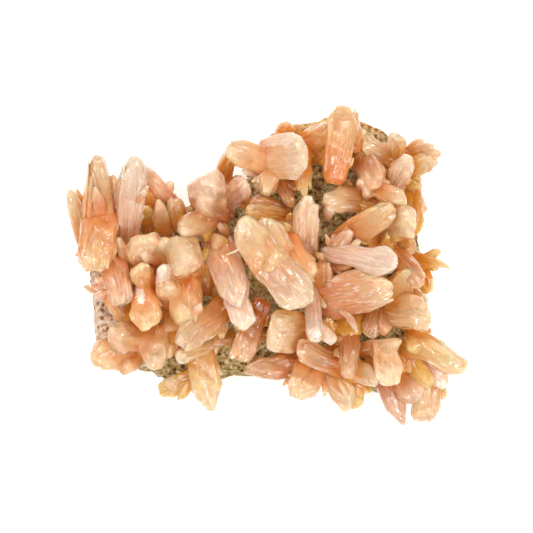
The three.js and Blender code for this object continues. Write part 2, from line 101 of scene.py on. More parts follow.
def apply_modifier(piece, kind, **settings):
    """Adds a modifier and applies it at once."""
    select_only(piece)
    modifier = piece.modifiers.new(kind.lower(), kind)
    for setting, value in settings.items():
        setattr(modifier, setting, value)
    bpy.ops.object.modifier_apply(modifier=modifier.name)


def points_of(mesh):
    """A mesh's vertices as an array, one row each."""
    points = np.zeros(len(mesh.vertices) * 3, np.float32)
    mesh.vertices.foreach_get("co", points)
    return points.reshape(-1, 3).astype(float)


def move_points(mesh, points):
    """Puts a mesh's vertices where an array says."""
    mesh.vertices.foreach_set("co", points.astype(np.float32).ravel())
    mesh.update()


def write_attribute(mesh, name, kind, domain, values):
    """Stores a value for each point, face or face corner, for the material or a later step to read."""
    attribute = mesh.attributes.new(name, kind, domain)
    field = {"FLOAT": "value", "INT": "value", "FLOAT_VECTOR": "vector", "FLOAT_COLOR": "color"}[kind]
    attribute.data.foreach_set(field, np.ravel(values))


def dress(piece, node, material):
    """Gives a finished piece its material and its place in the frame."""
    piece.data.materials.clear()
    piece.data.materials.append(material)
    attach(piece, "root")
    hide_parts(node)


def new_finish(name):
    """A material, its shader and short functions that add, join, mix, ramp and read for it."""
    material = bpy.data.materials.new(name)
    material.use_nodes = True
    tree = material.node_tree
    # Where a mix node keeps its two colours and their mixture
    lower_socket, upper_socket, mixture_socket = 6, 7, 2

    def add(kind, **inputs):
        node = tree.nodes.new(kind)
        for socket_name, value in inputs.items():
            node.inputs[socket_name.replace("_", " ")].default_value = value
        return node

    def join(source, target):
        tree.links.new(source, target)

    def mix(kind, amount, lower, upper):
        node = add("ShaderNodeMix")
        node.data_type = "RGBA"
        node.blend_type = kind
        sockets = (node.inputs["Factor"], node.inputs[lower_socket], node.inputs[upper_socket])
        for value, socket in zip((amount, lower, upper), sockets):
            if isinstance(value, (float, tuple)):
                socket.default_value = value
            else:
                join(value, socket)
        return node.outputs[mixture_socket]

    def ramp(source, *stops):
        node = add("ShaderNodeValToRGB")
        elements = node.color_ramp.elements
        while len(elements) < len(stops):
            elements.new(0.5)
        for element, (place, colour) in zip(elements, stops):
            element.position = place
            element.color = colour
        join(source, node.inputs["Fac"])
        return node.outputs["Color"]

    def read(attribute_name):
        node = add("ShaderNodeAttribute")
        node.attribute_name = attribute_name
        return node

    return material, tree.nodes["Principled BSDF"], add, join, mix, ramp, read


def crust_finish():
    """Matt, sugary mordenite: olive-brown between the crystals, white in the west, honey in the north, with
    painted shade in its pits and small cavities.
    """
    material, shader, add, join, mix, ramp, read = new_finish("mordenite crust")
    shader.inputs["Roughness"].default_value = 0.85
    shader.inputs["Specular IOR Level"].default_value = 0.35
    place = add("ShaderNodeTexCoord")
    speckle = add("ShaderNodeTexNoise", Scale=1100.0, Detail=5.0, Roughness=0.72)
    patches = add("ShaderNodeTexNoise", Scale=95.0, Detail=3.0, Roughness=0.6)
    cavities = add("ShaderNodeTexVoronoi", Scale=430.0, Randomness=1.0)
    where = add("ShaderNodeSeparateXYZ")
    for reader in (speckle, patches, cavities, where):
        join(place.outputs["Object"], reader.inputs["Vector"])
    olive_crust = ramp(
        speckle.outputs["Fac"],
        (0.34, srgb(102, 82, 38)),
        (0.44, srgb(166, 142, 84)),
        (0.54, srgb(216, 198, 140)),
        (0.66, srgb(250, 242, 214)),
    )
    white_crust = ramp(
        speckle.outputs["Fac"],
        (0.34, srgb(170, 112, 62)),
        (0.43, srgb(232, 190, 150)),
        (0.53, srgb(248, 226, 210)),
        (0.66, srgb(255, 250, 244)),
    )
    west = add("ShaderNodeMapRange", From_Min=white_from_x, From_Max=white_full_x)
    north = add("ShaderNodeMapRange", From_Min=honey_from_y, From_Max=honey_full_y)
    join(where.outputs["X"], west.inputs["Value"])
    join(where.outputs["Y"], north.inputs["Value"])
    palest = add("ShaderNodeMath")
    palest.operation = "MAXIMUM"
    join(west.outputs["Result"], palest.inputs[0])
    join(north.outputs["Result"], palest.inputs[1])
    coloured = mix("MIX", palest.outputs["Value"], olive_crust, white_crust)
    honeyed = mix("MULTIPLY", north.outputs["Result"], coloured, srgb(250, 228, 164))
    patch_colours = ramp(patches.outputs["Fac"], (0.35, srgb(206, 170, 112)), (0.6, srgb(255, 255, 255)))
    patched = mix("MULTIPLY", 0.8, honeyed, patch_colours)
    # Painted shade: the pits' colour goes dark brown towards their middles
    pit_shaded = mix("MIX", read("pore").outputs["Fac"], patched, srgb(116, 78, 38))
    # Painted shade: small dark brown spots at the cavity cells' middles, where the surface has no hollow
    painted_cavity_shade = ramp(
        cavities.outputs["Distance"],
        (0.16, srgb(104, 66, 34)),
        (0.30, srgb(226, 196, 150)),
        (0.42, srgb(255, 255, 255)),
    )
    join(mix("MULTIPLY", 0.9, pit_shaded, painted_cavity_shade), shader.inputs["Base Color"])
    bump = add("ShaderNodeBump", Strength=0.8, Distance=crust_bump_height)
    join(speckle.outputs["Fac"], bump.inputs["Height"])
    join(bump.outputs["Normal"], shader.inputs["Normal"])
    return material


plate = bpy.data.objects.new("crusted_plate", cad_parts["mordenite_matrix"].data.copy())
bpy.context.scene.collection.objects.link(plate)
select_only(plate)
bpy.ops.object.mode_set(mode="EDIT")
bpy.ops.mesh.select_all(action="SELECT")
bpy.ops.mesh.remove_doubles(threshold=weld_distance)
bpy.ops.object.mode_set(mode="OBJECT")
apply_modifier(plate, "SUBSURF", levels=1, render_levels=1)
apply_modifier(plate, "REMESH", mode="VOXEL", voxel_size=plate_voxel)

plate_points = points_of(plate.data)
plate_normals = np.zeros(len(plate.data.vertices) * 3, np.float32)
plate.data.vertex_normals.foreach_get("vector", plate_normals)
plate_normals = plate_normals.reshape(-1, 3).astype(float)
crusted = np.clip((plate_normals[:, 2] - bare_height) / (crusted_height - bare_height), 0, 1)
swell = np.zeros(len(plate_points))
pit = np.zeros(len(plate_points))
for index, point in enumerate(plate_points):
    if crusted[index] == 0:
        continue
    place = Vector(point)
    grain = noise.voronoi(place / grain_size)[0][0]
    lump = noise.noise(place / lump_size)
    pore_distance = noise.voronoi(place / pore_size + pore_start)[0][0]
    swell[index] = grain_height * (grain_middle - grain) + lump_height * lump
    if noise.cell(place / pore_size / pore_patch) < pore_share:
        pit[index] = max(0.0, 1 - pore_distance / pore_radius)
plate_points += plate_normals * (crusted * (swell - pore_depth * np.sqrt(pit)))[:, None]
plate_points[:, 2] = np.maximum(plate_points[:, 2], 0)
move_points(plate.data, plate_points)
write_attribute(plate.data, "pore", "FLOAT", "POINT", pit.astype(np.float32))
select_only(plate)
bpy.ops.object.shade_smooth()
dress(plate, "mordenite_matrix", crust_finish())


# The stilbite's blanks
# Every stilbite crystal starts from an upright prism of unit size, ringed along its length and capped
# by inset rings at its tip, so that grooves, steps and end faces can be cut into a copy of it. Slender
# crystals start from a coarser one.
def make_blank(name, sides, rings, cap_rings):
    """A ringed, capped prism one unit tall and one unit in radius."""
    bpy.ops.object.select_all(action="DESELECT")
    bpy.ops.mesh.primitive_cylinder_add(
        vertices=sides, radius=1, depth=1, end_fill_type="NGON", location=(0, 0, 0.5)
    )
    blank = bpy.context.object
    blank.name = name
    bpy.ops.object.transform_apply(location=True, rotation=False, scale=False)
    bpy.ops.object.mode_set(mode="EDIT")
    bpy.ops.mesh.select_mode(type="EDGE")
    bpy.ops.mesh.select_all(action="DESELECT")
    bpy.ops.object.mode_set(mode="OBJECT")
    for edge in blank.data.edges:
        low, high = (blank.data.vertices[corner].co.z for corner in edge.vertices)
        edge.select = abs(high - low) > 0.5
    bpy.ops.object.mode_set(mode="EDIT")
    bpy.ops.mesh.subdivide(number_cuts=rings - 1)
    bpy.ops.mesh.select_mode(type="FACE")
    # The insets take a cap's radius down to a small face, which is then poked.
    inset_share = 0.95
    for end in (1, -1):
        bpy.ops.mesh.select_all(action="DESELECT")
        bpy.ops.object.mode_set(mode="OBJECT")
        for face in blank.data.polygons:
            face.select = face.normal.z * end > 0.9
        bpy.ops.object.mode_set(mode="EDIT")
        insets = cap_rings if end == 1 else 1
        for ring in range(insets):
            bpy.ops.mesh.inset(thickness=inset_share / (insets + 0.5))
        bpy.ops.mesh.poke()
    bpy.ops.object.mode_set(mode="OBJECT")
    return blank


stout_blank = make_blank("stout_blank", sides=48, rings=18, cap_rings=5)
slender_blank = make_blank("slender_blank", sides=20, rings=8, cap_rings=2)

# The crystals' shapes
# Stilbite grows as flattened sheaves of thin parallel laths that end in wedges or blunt faces. Each
# crystal is a blank whose points are moved to such a sheaf, and a group's crystals are fused in one skin.

# A crystal wider than this, in mm, is a stout one, with thinner ones along it and round its foot.
slender_limit = 4.0

# How far each form of end falls back from the tip, as shares of the length: towards the sides of the
# crystal, and towards its broad faces. Each pair is a place from the middle out, and the fall there.
end_falls = {
    "round": ([(0, 0), (0.40, 0), (0.74, 0.045), (1, 0.17)], [(0, 0), (0.4, 0), (0.8, 0.04), (1, 0.11)]),
    "blunt": ([(0, 0), (0.78, 0), (1, 0.10)], [(0, 0), (0.62, 0), (1, 0.08)]),
    "wedge": ([(0, 0), (0.22, 0), (1, 0.30)], [(0, 0), (0.4, 0), (1, 0.12)]),
    "skew": ([(0, 0), (0.45, 0), (1, 0.20)], [(0, 0), (0.45, 0), (1, 0.1)]),
}
# How much an end slants from side to side: a skew one by the first, others by chance up to the second
skew_slant = 0.16
plain_slant = 0.07
# How many odd facets cut into a tip, and how much of the length a tip falls back at most
odd_facets = 7
deepest_fall = 0.42

# The prism's bevelled edges, each turned and set out by chance, and how crisp the section's corners are
bevel_corners = (0.25, 0.75, 1.25, 1.75)
bevel_turn = 0.08
bevel_reach = (0.96, 1.28)
corner_crispness = 60

# Laths: their number, how far across the crystal the steps between them spread, how wide and how wavy a
# step is, as shares of its half width, and how high, as a share of its thickness
fewest_laths = 4
most_laths = 8
lath_spread = 0.92
step_width = 0.04
step_waver = 0.06
step_height = 0.07
# How short of the tip a lath ends, in mm, and how much shorter the two outer ones may be
lath_short = 0.28
outer_lath_short = 1.0

# Grooves on the broad faces and on the edges: their depth in mm, their pitches across the crystal, how
# much they waver, how faint they get towards the tip, and the inner cap rings that they leave alone
groove_depth = 0.13
groove_pitches = (0.11, 0.17, 0.26, 0.4)
edge_groove_depth = 0.12
edge_groove_pitches = (0.5, 0.8)
groove_waver = 0.05
groove_end = 1.2
faintest_groove = 0.25
rim_start = 0.55
rim_width = 0.45

# The body narrows and thins at its foot, is crowned across its broad faces and rounded at its tip. The
# heights are shares of the length.
foot_narrowing = 0.4
foot_height = 0.12
foot_thickness = 0.85
thickening = 0.15
thickening_height = 0.5
crown_range = (0.02, 0.12)
tip_rounding = 0.10
tip_start = 0.93
tip_height = 0.07

# Swells of the thickness and the width, the most that both may grow by, and a crystal's bend
round_swell = 0.12
plain_swell = 0.07
side_swell = 0.07
widest = 1.02
thickest = 1.12
bow = 0.02

# The thinner crystals along a stout one: their number, up to the second, and their shares of its sizes
side_count = (3, 7)
side_width = (0.18, 0.5)
side_thickness = (0.45, 0.8)
side_lift = (0.3, 1.0)
side_spread = 1.04
side_start = (0.0, 0.3)
side_stop = (0.8, 0.99)

# The short crystals round a stout one's foot: their number, up to the second, their width and length in
# mm, how they lean, where they start along it, and how low they may lie
spray_count = (2, 4)
spray_width = (2.0, 3.9)
spray_length = (4.5, 9.0)
lean_across = (0.3, 1.0)
lean_out = (-0.5, 0.25)
spray_start = (0.0, 0.35)
lowest_rise = 0.25
lowest_tip = 1.5

# The whole druse is gently warped, so that no two faces are quite flat or quite alike. The pitches are
# in mm, and the strength is a share of each.
warp_chooser = np.random.default_rng(5)
warp_pitches = (3.5, 4.6, 6.0, 8.0, 11.0, 15.0)
warp_directions = warp_chooser.normal(0, 1, (len(warp_pitches), 3))
warp_directions /= np.linalg.norm(warp_directions, axis=1)[:, None]
warp_phases = warp_chooser.uniform(0, math.tau, len(warp_pitches))
warp_strength = 0.028


# The last argument is how much painted pearly sheen, a painted highlight, whitens the crystal's colour.
def crystal(foot, tip, width, thick, end, tone, frost=0.0):
    """One crystal's sizes in mm: foot and tip are the middles of its two ends, with the width at each."""
    return dict(foot=foot, tip=tip, width=width, thick=thick, end=end, tone=tone, frost=frost)


def wave(places, pitches, chooser):
    """A smooth random line through places from -1 to 1, from waves of the given pitches."""
    total = np.zeros(len(places))
    for pitch in pitches:
        total += np.cos(math.tau * places / pitch + chooser.uniform(0, math.tau)) * chooser.uniform(0.6, 1)
    return total / len(pitches)


def axes_of(spec):
    """A crystal's foot, its length and its own axes: across it, out of its broad face and along it."""
    foot = np.array(spec["foot"], float)
    tip = np.array(spec["tip"], float)
    length = float(np.linalg.norm(tip - foot))
    along = (tip - foot) / length
    across = np.cross((0, 0, 1), along)
    across /= np.linalg.norm(across)
    return foot, length, np.stack((across, np.cross(along, across), along))


def section_reach(angle, chooser):
    """How far out a flattened, bevelled prism's skin is at each angle: at the nearest side plane."""
    planes = [(0, 1.0), (math.pi, 1.0), (math.pi / 2, 1.0), (-math.pi / 2, 1.0)]
    for corner in bevel_corners:
        turn = math.pi * (corner + chooser.uniform(-bevel_turn, bevel_turn))
        planes.append((turn, chooser.uniform(*bevel_reach)))
    reach = np.zeros(len(angle))
    for turn, distance in planes:
        reach += np.clip(np.cos(angle - turn) / distance, 0, None) ** corner_crispness
    return reach ** (-1 / corner_crispness)


def lath_relief(side, rise, length, chooser):
    """A sheaf's parallel plates: how proud of their neighbours they stand, and how short they end."""
    count = int(chooser.integers(fewest_laths, most_laths + 1))
    edges = np.sort(chooser.uniform(-lath_spread, lath_spread, count - 1))
    proud = chooser.uniform(-1, 1, count)
    short = np.abs(chooser.normal(0, lath_short, count)) / length
    short[[0, -1]] += chooser.uniform(0, outer_lath_short, 2) / length
    place = side + step_waver * wave(rise, (0.7, 1.3), chooser)
    lath_out = np.full(len(side), proud[0])
    lath_fall = np.full(len(side), short[0])
    for edge, before, after, low, high in zip(edges, proud, proud[1:], short, short[1:]):
        past = np.clip((place - edge) / step_width, 0, 1)
        lath_out += (after - before) * past
        lath_fall += (high - low) * past
    return lath_out, lath_fall


def tip_fall(spec, side, out, length, chooser):
    """How far the tip falls back at each point, by the form of its end and by a few odd facets."""
    falls_side, falls_out = end_falls[spec["end"]]
    slant = skew_slant if spec["end"] == "skew" else chooser.uniform(-plain_slant, plain_slant)
    fall_side = np.interp(np.abs(side), *zip(*falls_side)) + slant * (side + 1) * 0.5
    fall_out = np.interp(np.abs(out), *zip(*falls_out))
    fall = np.maximum(fall_side, fall_out) + 0.35 * np.minimum(fall_side, fall_out)
    for facet in range(odd_facets):
        turn = chooser.uniform(0, math.tau)
        start = chooser.uniform(0.05, 0.7)
        steep = chooser.uniform(0.3, 1.1) * spec["width"][1] / 2 / length
        fall = np.maximum(fall, (side * math.cos(turn) + out * math.sin(turn) - start) * steep + fall * 0.3)
    return fall - fall.min()


def warped(points):
    """Points in mm, moved by the waves that warp the whole druse."""
    warp = np.zeros(points.shape)
    for direction, phase, pitch in zip(warp_directions, warp_phases, warp_pitches):
        ripple = np.sin(points @ direction * math.tau / pitch + phase)
        warp += np.outer(ripple, np.roll(direction, 1)) * pitch
    return points + warp * warp_strength


def grow(spec, blank_points, chooser):
    """A blank's points shaped to one crystal, in mm."""
    foot, length, axes = axes_of(spec)
    inward = np.hypot(blank_points[:, 0], blank_points[:, 1])
    rise = blank_points[:, 2]
    angle = np.arctan2(blank_points[:, 1], blank_points[:, 0])
    reach = section_reach(angle, chooser)
    side = np.cos(angle) * reach * inward
    out = np.sin(angle) * reach * inward
    lath_out, lath_fall = lath_relief(side, rise, length, chooser)
    fall = tip_fall(spec, side, out, length, chooser)
    height = rise * (1 - np.clip(fall + lath_fall, 0, deepest_fall))

    # Body: a straight taper with crowned faces, a rounded foot and a slightly rounded tip
    halves = np.interp(rise, (0, 1), spec["width"]) / 2
    foot_round = 1 - foot_narrowing * np.clip(1 - height / foot_height, 0, 1) ** 2
    thickness = foot_thickness + thickening * np.clip(rise / thickening_height, 0, 1)
    half_thick = spec["thick"] / 2 * thickness * foot_round
    crown = 1 - chooser.uniform(*crown_range) * side**2
    rounding = 1 - tip_rounding * np.clip((rise - tip_start) / tip_height, 0, 1) ** 2

    # Grooves, which fade towards the tip, and laths, both kept off the inner cap rings
    rim = np.clip((inward - rim_start) / rim_width, 0, 1)
    groove_fade = np.clip(groove_end - rise, faintest_groove, 1)
    shift = wave(rise, (0.8, 1.9), chooser) * groove_waver
    face_grooves = wave(side + shift, groove_pitches, chooser) * groove_fade
    edge_grooves = wave(out + shift, edge_groove_pitches, chooser) * groove_fade
    swell = round_swell if spec["end"] == "round" else plain_swell
    swell_out = swell * wave(height + 0.4 * side, (0.4, 0.9), chooser)
    swell_side = side_swell * wave(height + 0.3 * out, (0.35, 0.8), chooser)
    face_share = np.clip(np.abs(out) / np.maximum(np.abs(out) + np.abs(side) * 0.35, 1e-6), 0, 1)
    face_relief = groove_depth * face_grooves * face_share * rim * np.sign(out)
    edge_relief = edge_groove_depth * edge_grooves * (1 - face_share) * rim * np.sign(side)
    steps = step_height * spec["thick"] * lath_out * face_share * rim * np.sign(out)

    x = side * halves * foot_round * rounding * (1 + swell_side) + edge_relief
    y = out * half_thick * crown * rounding * (1 + swell_out) + face_relief + steps
    x = np.clip(x, -halves * widest, halves * widest)
    y = np.clip(y, -half_thick * thickest, half_thick * thickest)
    y = y + chooser.uniform(-bow, bow) * length * np.sin(math.pi * height)
    return warped(foot + np.stack((x, y, height * length), 1) @ axes)


def side_crystals(spec, chooser):
    """The thinner crystals that grew along a stout one, nearly parallel to it."""
    foot, length, (across, face, along) = axes_of(spec)
    companions = []
    for companion in range(int(chooser.integers(side_count[0], side_count[1] + 1))):
        wide = spec["width"][1] * chooser.uniform(*side_width)
        thick = spec["thick"] * chooser.uniform(*side_thickness)
        edge = chooser.uniform(-side_spread, side_spread) * (spec["width"][1] - wide) / 2
        lift = chooser.uniform(*side_lift) * (spec["thick"] - thick) / 2 + 0.03 * spec["thick"]
        start = chooser.uniform(*side_start)
        stop = chooser.uniform(*side_stop)
        inset = edge * spec["width"][0] / spec["width"][1]
        low = foot + along * length * start + across * inset * 0.9 + face * lift * 0.7
        high = foot + along * length * stop + across * edge + face * lift
        end = chooser.choice(("blunt", "wedge"))
        companions.append(dict(spec, foot=low, tip=high, width=(wide * 0.9, wide), thick=thick, end=end))
    return companions


def foot_crystals(spec, chooser):
    """The short crystals that crowd round a stout one's foot and lean every way."""
    foot, length, (across, face, along) = axes_of(spec)
    sprays = []
    for spray in range(int(chooser.integers(spray_count[0], spray_count[1] + 1))):
        lean = chooser.choice((-1, 1)) * chooser.uniform(*lean_across) * across
        lean += chooser.uniform(*lean_out) * face
        aim = along + lean
        aim[2] = max(aim[2], lowest_rise)
        aim /= np.linalg.norm(aim)
        wide = chooser.uniform(*spray_width)
        start = foot + along * length * chooser.uniform(*spray_start)
        start += across * chooser.uniform(-0.3, 0.3) * wide
        stop = start + aim * min(length * 0.5, chooser.uniform(*spray_length))
        stop[2] = max(stop[2], lowest_tip)
        end = chooser.choice(list(end_falls))
        sprays.append(dict(
            spec, foot=start, tip=stop, width=(wide * 0.8, wide), thick=wide * 0.7, end=end, frost=0.0,
        ))
    return sprays


def fuse(copies):
    """Joins crystals that grew into each other into one closed skin. A lone crystal stays as it is."""
    if len(copies) == 1:
        return copies[0]
    others = bpy.data.collections.new("others")
    for copy in copies[1:]:
        others.objects.link(copy)
    select_only(copies[0])
    bpy.ops.object.modifier_add(type="BOOLEAN")
    modifier = copies[0].modifiers[-1]
    modifier.operation = "UNION"
    modifier.solver = "MANIFOLD"
    modifier.operand_type = "COLLECTION"
    modifier.collection = others
    bpy.ops.object.modifier_apply(modifier=modifier.name)
    for copy in copies[1:]:
        bpy.data.objects.remove(copy)
    bpy.data.collections.remove(others)
    return copies[0]


melt_voxel = 0.42 * mm
melt_rounds = 5


def melt(piece):
    """Softens a fused group whose stubby crystals run into each other, and keeps whose face is whose."""
    owners = np.empty(len(piece.data.polygons), dtype=np.int32)
    piece.data.attributes["crystal_index"].data.foreach_get("value", owners)
    nearest = KDTree(len(owners))
    for index, polygon in enumerate(piece.data.polygons):
        nearest.insert(polygon.center, index)
    nearest.balance()
    apply_modifier(piece, "REMESH", mode="VOXEL", voxel_size=melt_voxel)
    apply_modifier(piece, "SMOOTH", factor=0.5, iterations=melt_rounds)
    inherited = [owners[nearest.find(polygon.center)[1]] for polygon in piece.data.polygons]
    if "crystal_index" in piece.data.attributes:
        piece.data.attributes.remove(piece.data.attributes["crystal_index"])
    write_attribute(piece.data, "crystal_index", "INT", "FACE", inherited)


# The crystals' finish
# Stilbite is waxy to pearly and lets light soak in. Its colour pales from a crystal's foot to its tip,
# with paler streaks along the growth and milky grains, and painted highlights where its cleavage shines.

# Colours at a crystal's foot, along its body and at its tip
tones = {
    "peach": (srgb(232, 150, 88), srgb(236, 180, 136), srgb(238, 212, 178)),
    "pink": (srgb(230, 152, 106), srgb(236, 180, 146), srgb(240, 210, 186)),
    "cream": (srgb(230, 160, 104), srgb(238, 196, 154), srgb(240, 216, 186)),
    "sand": (srgb(220, 152, 100), srgb(228, 180, 140), srgb(234, 206, 174)),
    "orange": (srgb(232, 140, 72), srgb(236, 172, 118), srgb(240, 206, 162)),
    "amber": (srgb(228, 160, 74), srgb(234, 186, 108), srgb(238, 212, 154)),
    "rose": (srgb(214, 136, 90), srgb(222, 162, 122), srgb(232, 190, 156)),
    "pearl": (srgb(232, 168, 130), srgb(238, 196, 170), srgb(242, 222, 206)),
    "straw": (srgb(230, 164, 94), srgb(238, 200, 146), srgb(240, 222, 186)),
}
# Each crystal's colour is deepened by this, and by a chance share between these two.
tone_depth = np.array((0.95, 0.95, 0.88))
tone_spread = (0.86, 1.0)
# Each crystal's patterns start somewhere else, up to this far away in mm.
pattern_shift = 40
light_reach = 3.2 * mm
glint_bump_height = 0.4 * mm


def paint(piece, growing):
    """Gives each face corner its place in its crystal, that crystal's colour there, and its share of
    painted pearly sheen.
    """
    mesh = piece.data
    owners = np.empty(len(mesh.polygons), dtype=np.int32)
    mesh.attributes["crystal_index"].data.foreach_get("value", owners)
    corner_counts = np.empty(len(mesh.polygons), dtype=np.int32)
    mesh.polygons.foreach_get("loop_total", corner_counts)
    corner_points = np.empty(len(mesh.loops), dtype=np.int32)
    mesh.loops.foreach_get("vertex_index", corner_points)
    owners = np.repeat(owners, corner_counts)
    places = points_of(mesh)[corner_points] / mm
    inner = np.zeros((len(places), 3))
    tint = np.ones((len(places), 4))
    frost = np.zeros(len(places))
    for index, (spec, chooser) in enumerate(growing):
        mine = owners == index
        foot, length, axes = axes_of(spec)
        inside = (places[mine] - foot) @ axes.T
        inner[mine] = inside + chooser.uniform(-pattern_shift, pattern_shift, 3)
        height = inside[:, 2] / length
        side = inside[:, 0] / spec["width"][1]
        blush = height + 0.1 * wave(side + height, (0.6, 1.1), chooser)
        low_share = np.clip(blush / 0.5, 0, 1)[:, None]
        high_share = np.clip((blush - 0.5) / 0.5, 0, 1)[:, None]
        foot_colour, body_colour, tip_colour = (np.array(colour) for colour in tones[spec["tone"]])
        low_colour = foot_colour * (1 - low_share) + body_colour * low_share
        tint[mine] = low_colour * (1 - high_share) + tip_colour * high_share
        tint[mine, :3] *= chooser.uniform(*tone_spread) * tone_depth
        frost[mine] = spec["frost"]
    mesh.attributes.remove(mesh.attributes["crystal_index"])
    write_attribute(mesh, "inner_place", "FLOAT_VECTOR", "CORNER", inner)
    write_attribute(mesh, "tint", "FLOAT_COLOR", "CORNER", tint)
    write_attribute(mesh, "frost", "FLOAT", "CORNER", frost)


def stilbite_finish():
    """Waxy stilbite: peach light that soaks in, streaked along the growth, with painted pearly sheen,
    painted glints and painted orange crevice light.
    """
    material, shader, add, join, mix, ramp, read = new_finish("stilbite")
    shader.inputs["Subsurface Weight"].default_value = 0.85
    shader.inputs["Subsurface Radius"].default_value = (1.0, 0.45, 0.2)
    shader.inputs["Subsurface Scale"].default_value = light_reach
    shader.inputs["IOR"].default_value = 1.5
    shader.inputs["Coat Weight"].default_value = 0.8
    shader.inputs["Coat Roughness"].default_value = 0.08
    tint, inner, frost, crevice = (read(name) for name in ("tint", "inner_place", "frost", "crevice"))

    def inner_noise(scale, detail, roughness, stretch=1.0):
        """Noise in a crystal's own space, drawn out along its growth by a stretch below 1."""
        place = add("ShaderNodeMapping", Scale=(1.0, 1.0, stretch))
        join(inner.outputs["Vector"], place.inputs["Vector"])
        texture = add("ShaderNodeTexNoise", Scale=scale, Detail=detail, Roughness=roughness)
        join(place.outputs["Vector"], texture.inputs["Vector"])
        return texture.outputs["Fac"]

    streaks = inner_noise(1.7, 5.0, 0.78, stretch=0.05)
    clouds = inner_noise(0.26, 4.0, 0.62)
    sugar = inner_noise(2.4, 5.0, 0.75)
    # Clouds of pinker and yellower stone, then paler streaks and milky grains, and painted orange light and
    # shade in the crevices
    cloud_colours = ramp(
        clouds,
        (0.30, (0.94, 0.70, 0.60, 1)),
        (0.42, (0.98, 0.90, 0.86, 1)),
        (0.55, (1.0, 1.0, 0.98, 1)),
        (0.70, (1.06, 1.04, 0.86, 1)),
    )
    streak_colours = ramp(
        streaks,
        (0.36, (0.92, 0.82, 0.70, 1)),
        (0.48, (0.99, 0.96, 0.93, 1)),
        (0.60, (1.14, 1.16, 1.14, 1)),
    )
    milk_colours = ramp(
        sugar,
        (0.42, (0.94, 0.92, 0.90, 1)),
        (0.58, (1.0, 1.0, 1.0, 1)),
        (0.70, (1.22, 1.26, 1.30, 1)),
    )
    painted_crevice_orange = (1.0, 0.78, 0.34, 1)
    clouded = mix("MULTIPLY", 1.0, tint.outputs["Color"], cloud_colours)
    streaked = mix("MULTIPLY", 0.3, clouded, streak_colours)
    milky = mix("MULTIPLY", 0.8, streaked, milk_colours)
    # Painted shade and light: the colour turns a deeper orange where a point lies low among the crystals
    crevice_painted_orange = mix("MULTIPLY", crevice.outputs["Fac"], milky, painted_crevice_orange)
    # Painted pearly sheen, a painted highlight, whitens the colour where a crystal has it
    painted_sheen_break = add("ShaderNodeMapRange", From_Min=0.34, From_Max=0.62)
    join(streaks, painted_sheen_break.inputs["Value"])
    painted_sheen_share = add("ShaderNodeMath")
    painted_sheen_share.operation = "MULTIPLY"
    join(frost.outputs["Fac"], painted_sheen_share.inputs[0])
    join(painted_sheen_break.outputs["Result"], painted_sheen_share.inputs[1])
    painted_sheen_colour = mix("MIX", painted_sheen_share.outputs["Value"], crevice_painted_orange, srgb(252, 232, 218))
    # Painted highlights: sparse short pale streaks along the growth stand in for glints on cleavage, on any
    # crystal and more on one with painted sheen
    painted_glint_share = add("ShaderNodeMath")
    painted_glint_share.operation = "MULTIPLY_ADD"
    painted_glint_share.inputs[1].default_value = 0.09
    join(frost.outputs["Fac"], painted_glint_share.inputs[0])
    join(inner_noise(1.0, 3.0, 0.6, stretch=0.16), painted_glint_share.inputs[2])
    painted_glint_cut = add("ShaderNodeMapRange", From_Min=0.61, From_Max=0.71, To_Max=0.65)
    join(painted_glint_share.outputs["Value"], painted_glint_cut.inputs["Value"])
    painted_glint_colour = mix("MIX", painted_glint_cut.outputs["Result"], painted_sheen_colour, srgb(255, 244, 232))
    brightest = (0.95, 0.93, 0.90, 1)
    join(mix("DARKEN", 1.0, painted_glint_colour, brightest), shader.inputs["Base Color"])
    gloss = add("ShaderNodeMapRange", From_Min=0.35, From_Max=0.62, To_Min=0.12, To_Max=0.26)
    join(sugar, gloss.inputs["Value"])
    join(gloss.outputs["Result"], shader.inputs["Roughness"])
    # Ribs along the growth and small dimples, coarse enough to show as glints
    rib_bump = add("ShaderNodeBump", Strength=0.5, Distance=glint_bump_height)
    join(inner_noise(0.8, 1.0, 0.4, stretch=0.09), rib_bump.inputs["Height"])
    dimple_bump = add("ShaderNodeBump", Strength=0.25, Distance=glint_bump_height)
    join(inner_noise(0.8, 1.0, 0.4), dimple_bump.inputs["Height"])
    join(rib_bump.outputs["Normal"], dimple_bump.inputs["Normal"])
    join(dimple_bump.outputs["Normal"], shader.inputs["Normal"])
    join(dimple_bump.outputs["Normal"], shader.inputs["Coat Normal"])
    return material


stilbite = stilbite_finish()
grown_groups = []
druse_seed = 11
# Crystals stay this far inside the CAD's box.
box_gap = 0.05 * mm
box_low = np.array(cad_box[0]) + box_gap
box_high = np.array(cad_box[1]) - box_gap
facet_angle = math.radians(15)


def grow_group(node, specs, melted=False):
    """One group of crystals, fused where they grew together, in place of the solid of that name."""
    growing = []
    for number, spec in enumerate(specs):
        chooser = np.random.default_rng([len(grown_groups), number, druse_seed])
        growing.append((spec, chooser))
        if max(spec["width"]) > slender_limit:
            growing.extend((companion, chooser) for companion in side_crystals(spec, chooser))
            growing.extend((spray, chooser) for spray in foot_crystals(spec, chooser))
    copies = []
    for index, (spec, chooser) in enumerate(growing):
        blank = stout_blank if max(spec["width"]) > slender_limit else slender_blank
        copy = bpy.data.objects.new(node + "_crystal", blank.data.copy())
        bpy.context.scene.collection.objects.link(copy)
        points = grow(spec, points_of(blank.data), chooser) * mm
        move_points(copy.data, np.clip(points, box_low, box_high))
        write_attribute(copy.data, "crystal_index", "INT", "FACE", np.full(len(copy.data.polygons), index))
        copies.append(copy)
    piece = fuse(copies)
    piece.name = node + "_crystals"
    if melted:
        melt(piece)
    paint(piece, growing)
    select_only(piece)
    bpy.ops.object.shade_smooth_by_angle(angle=facet_angle)
    dress(piece, node, stilbite)
    grown_groups.append(piece)


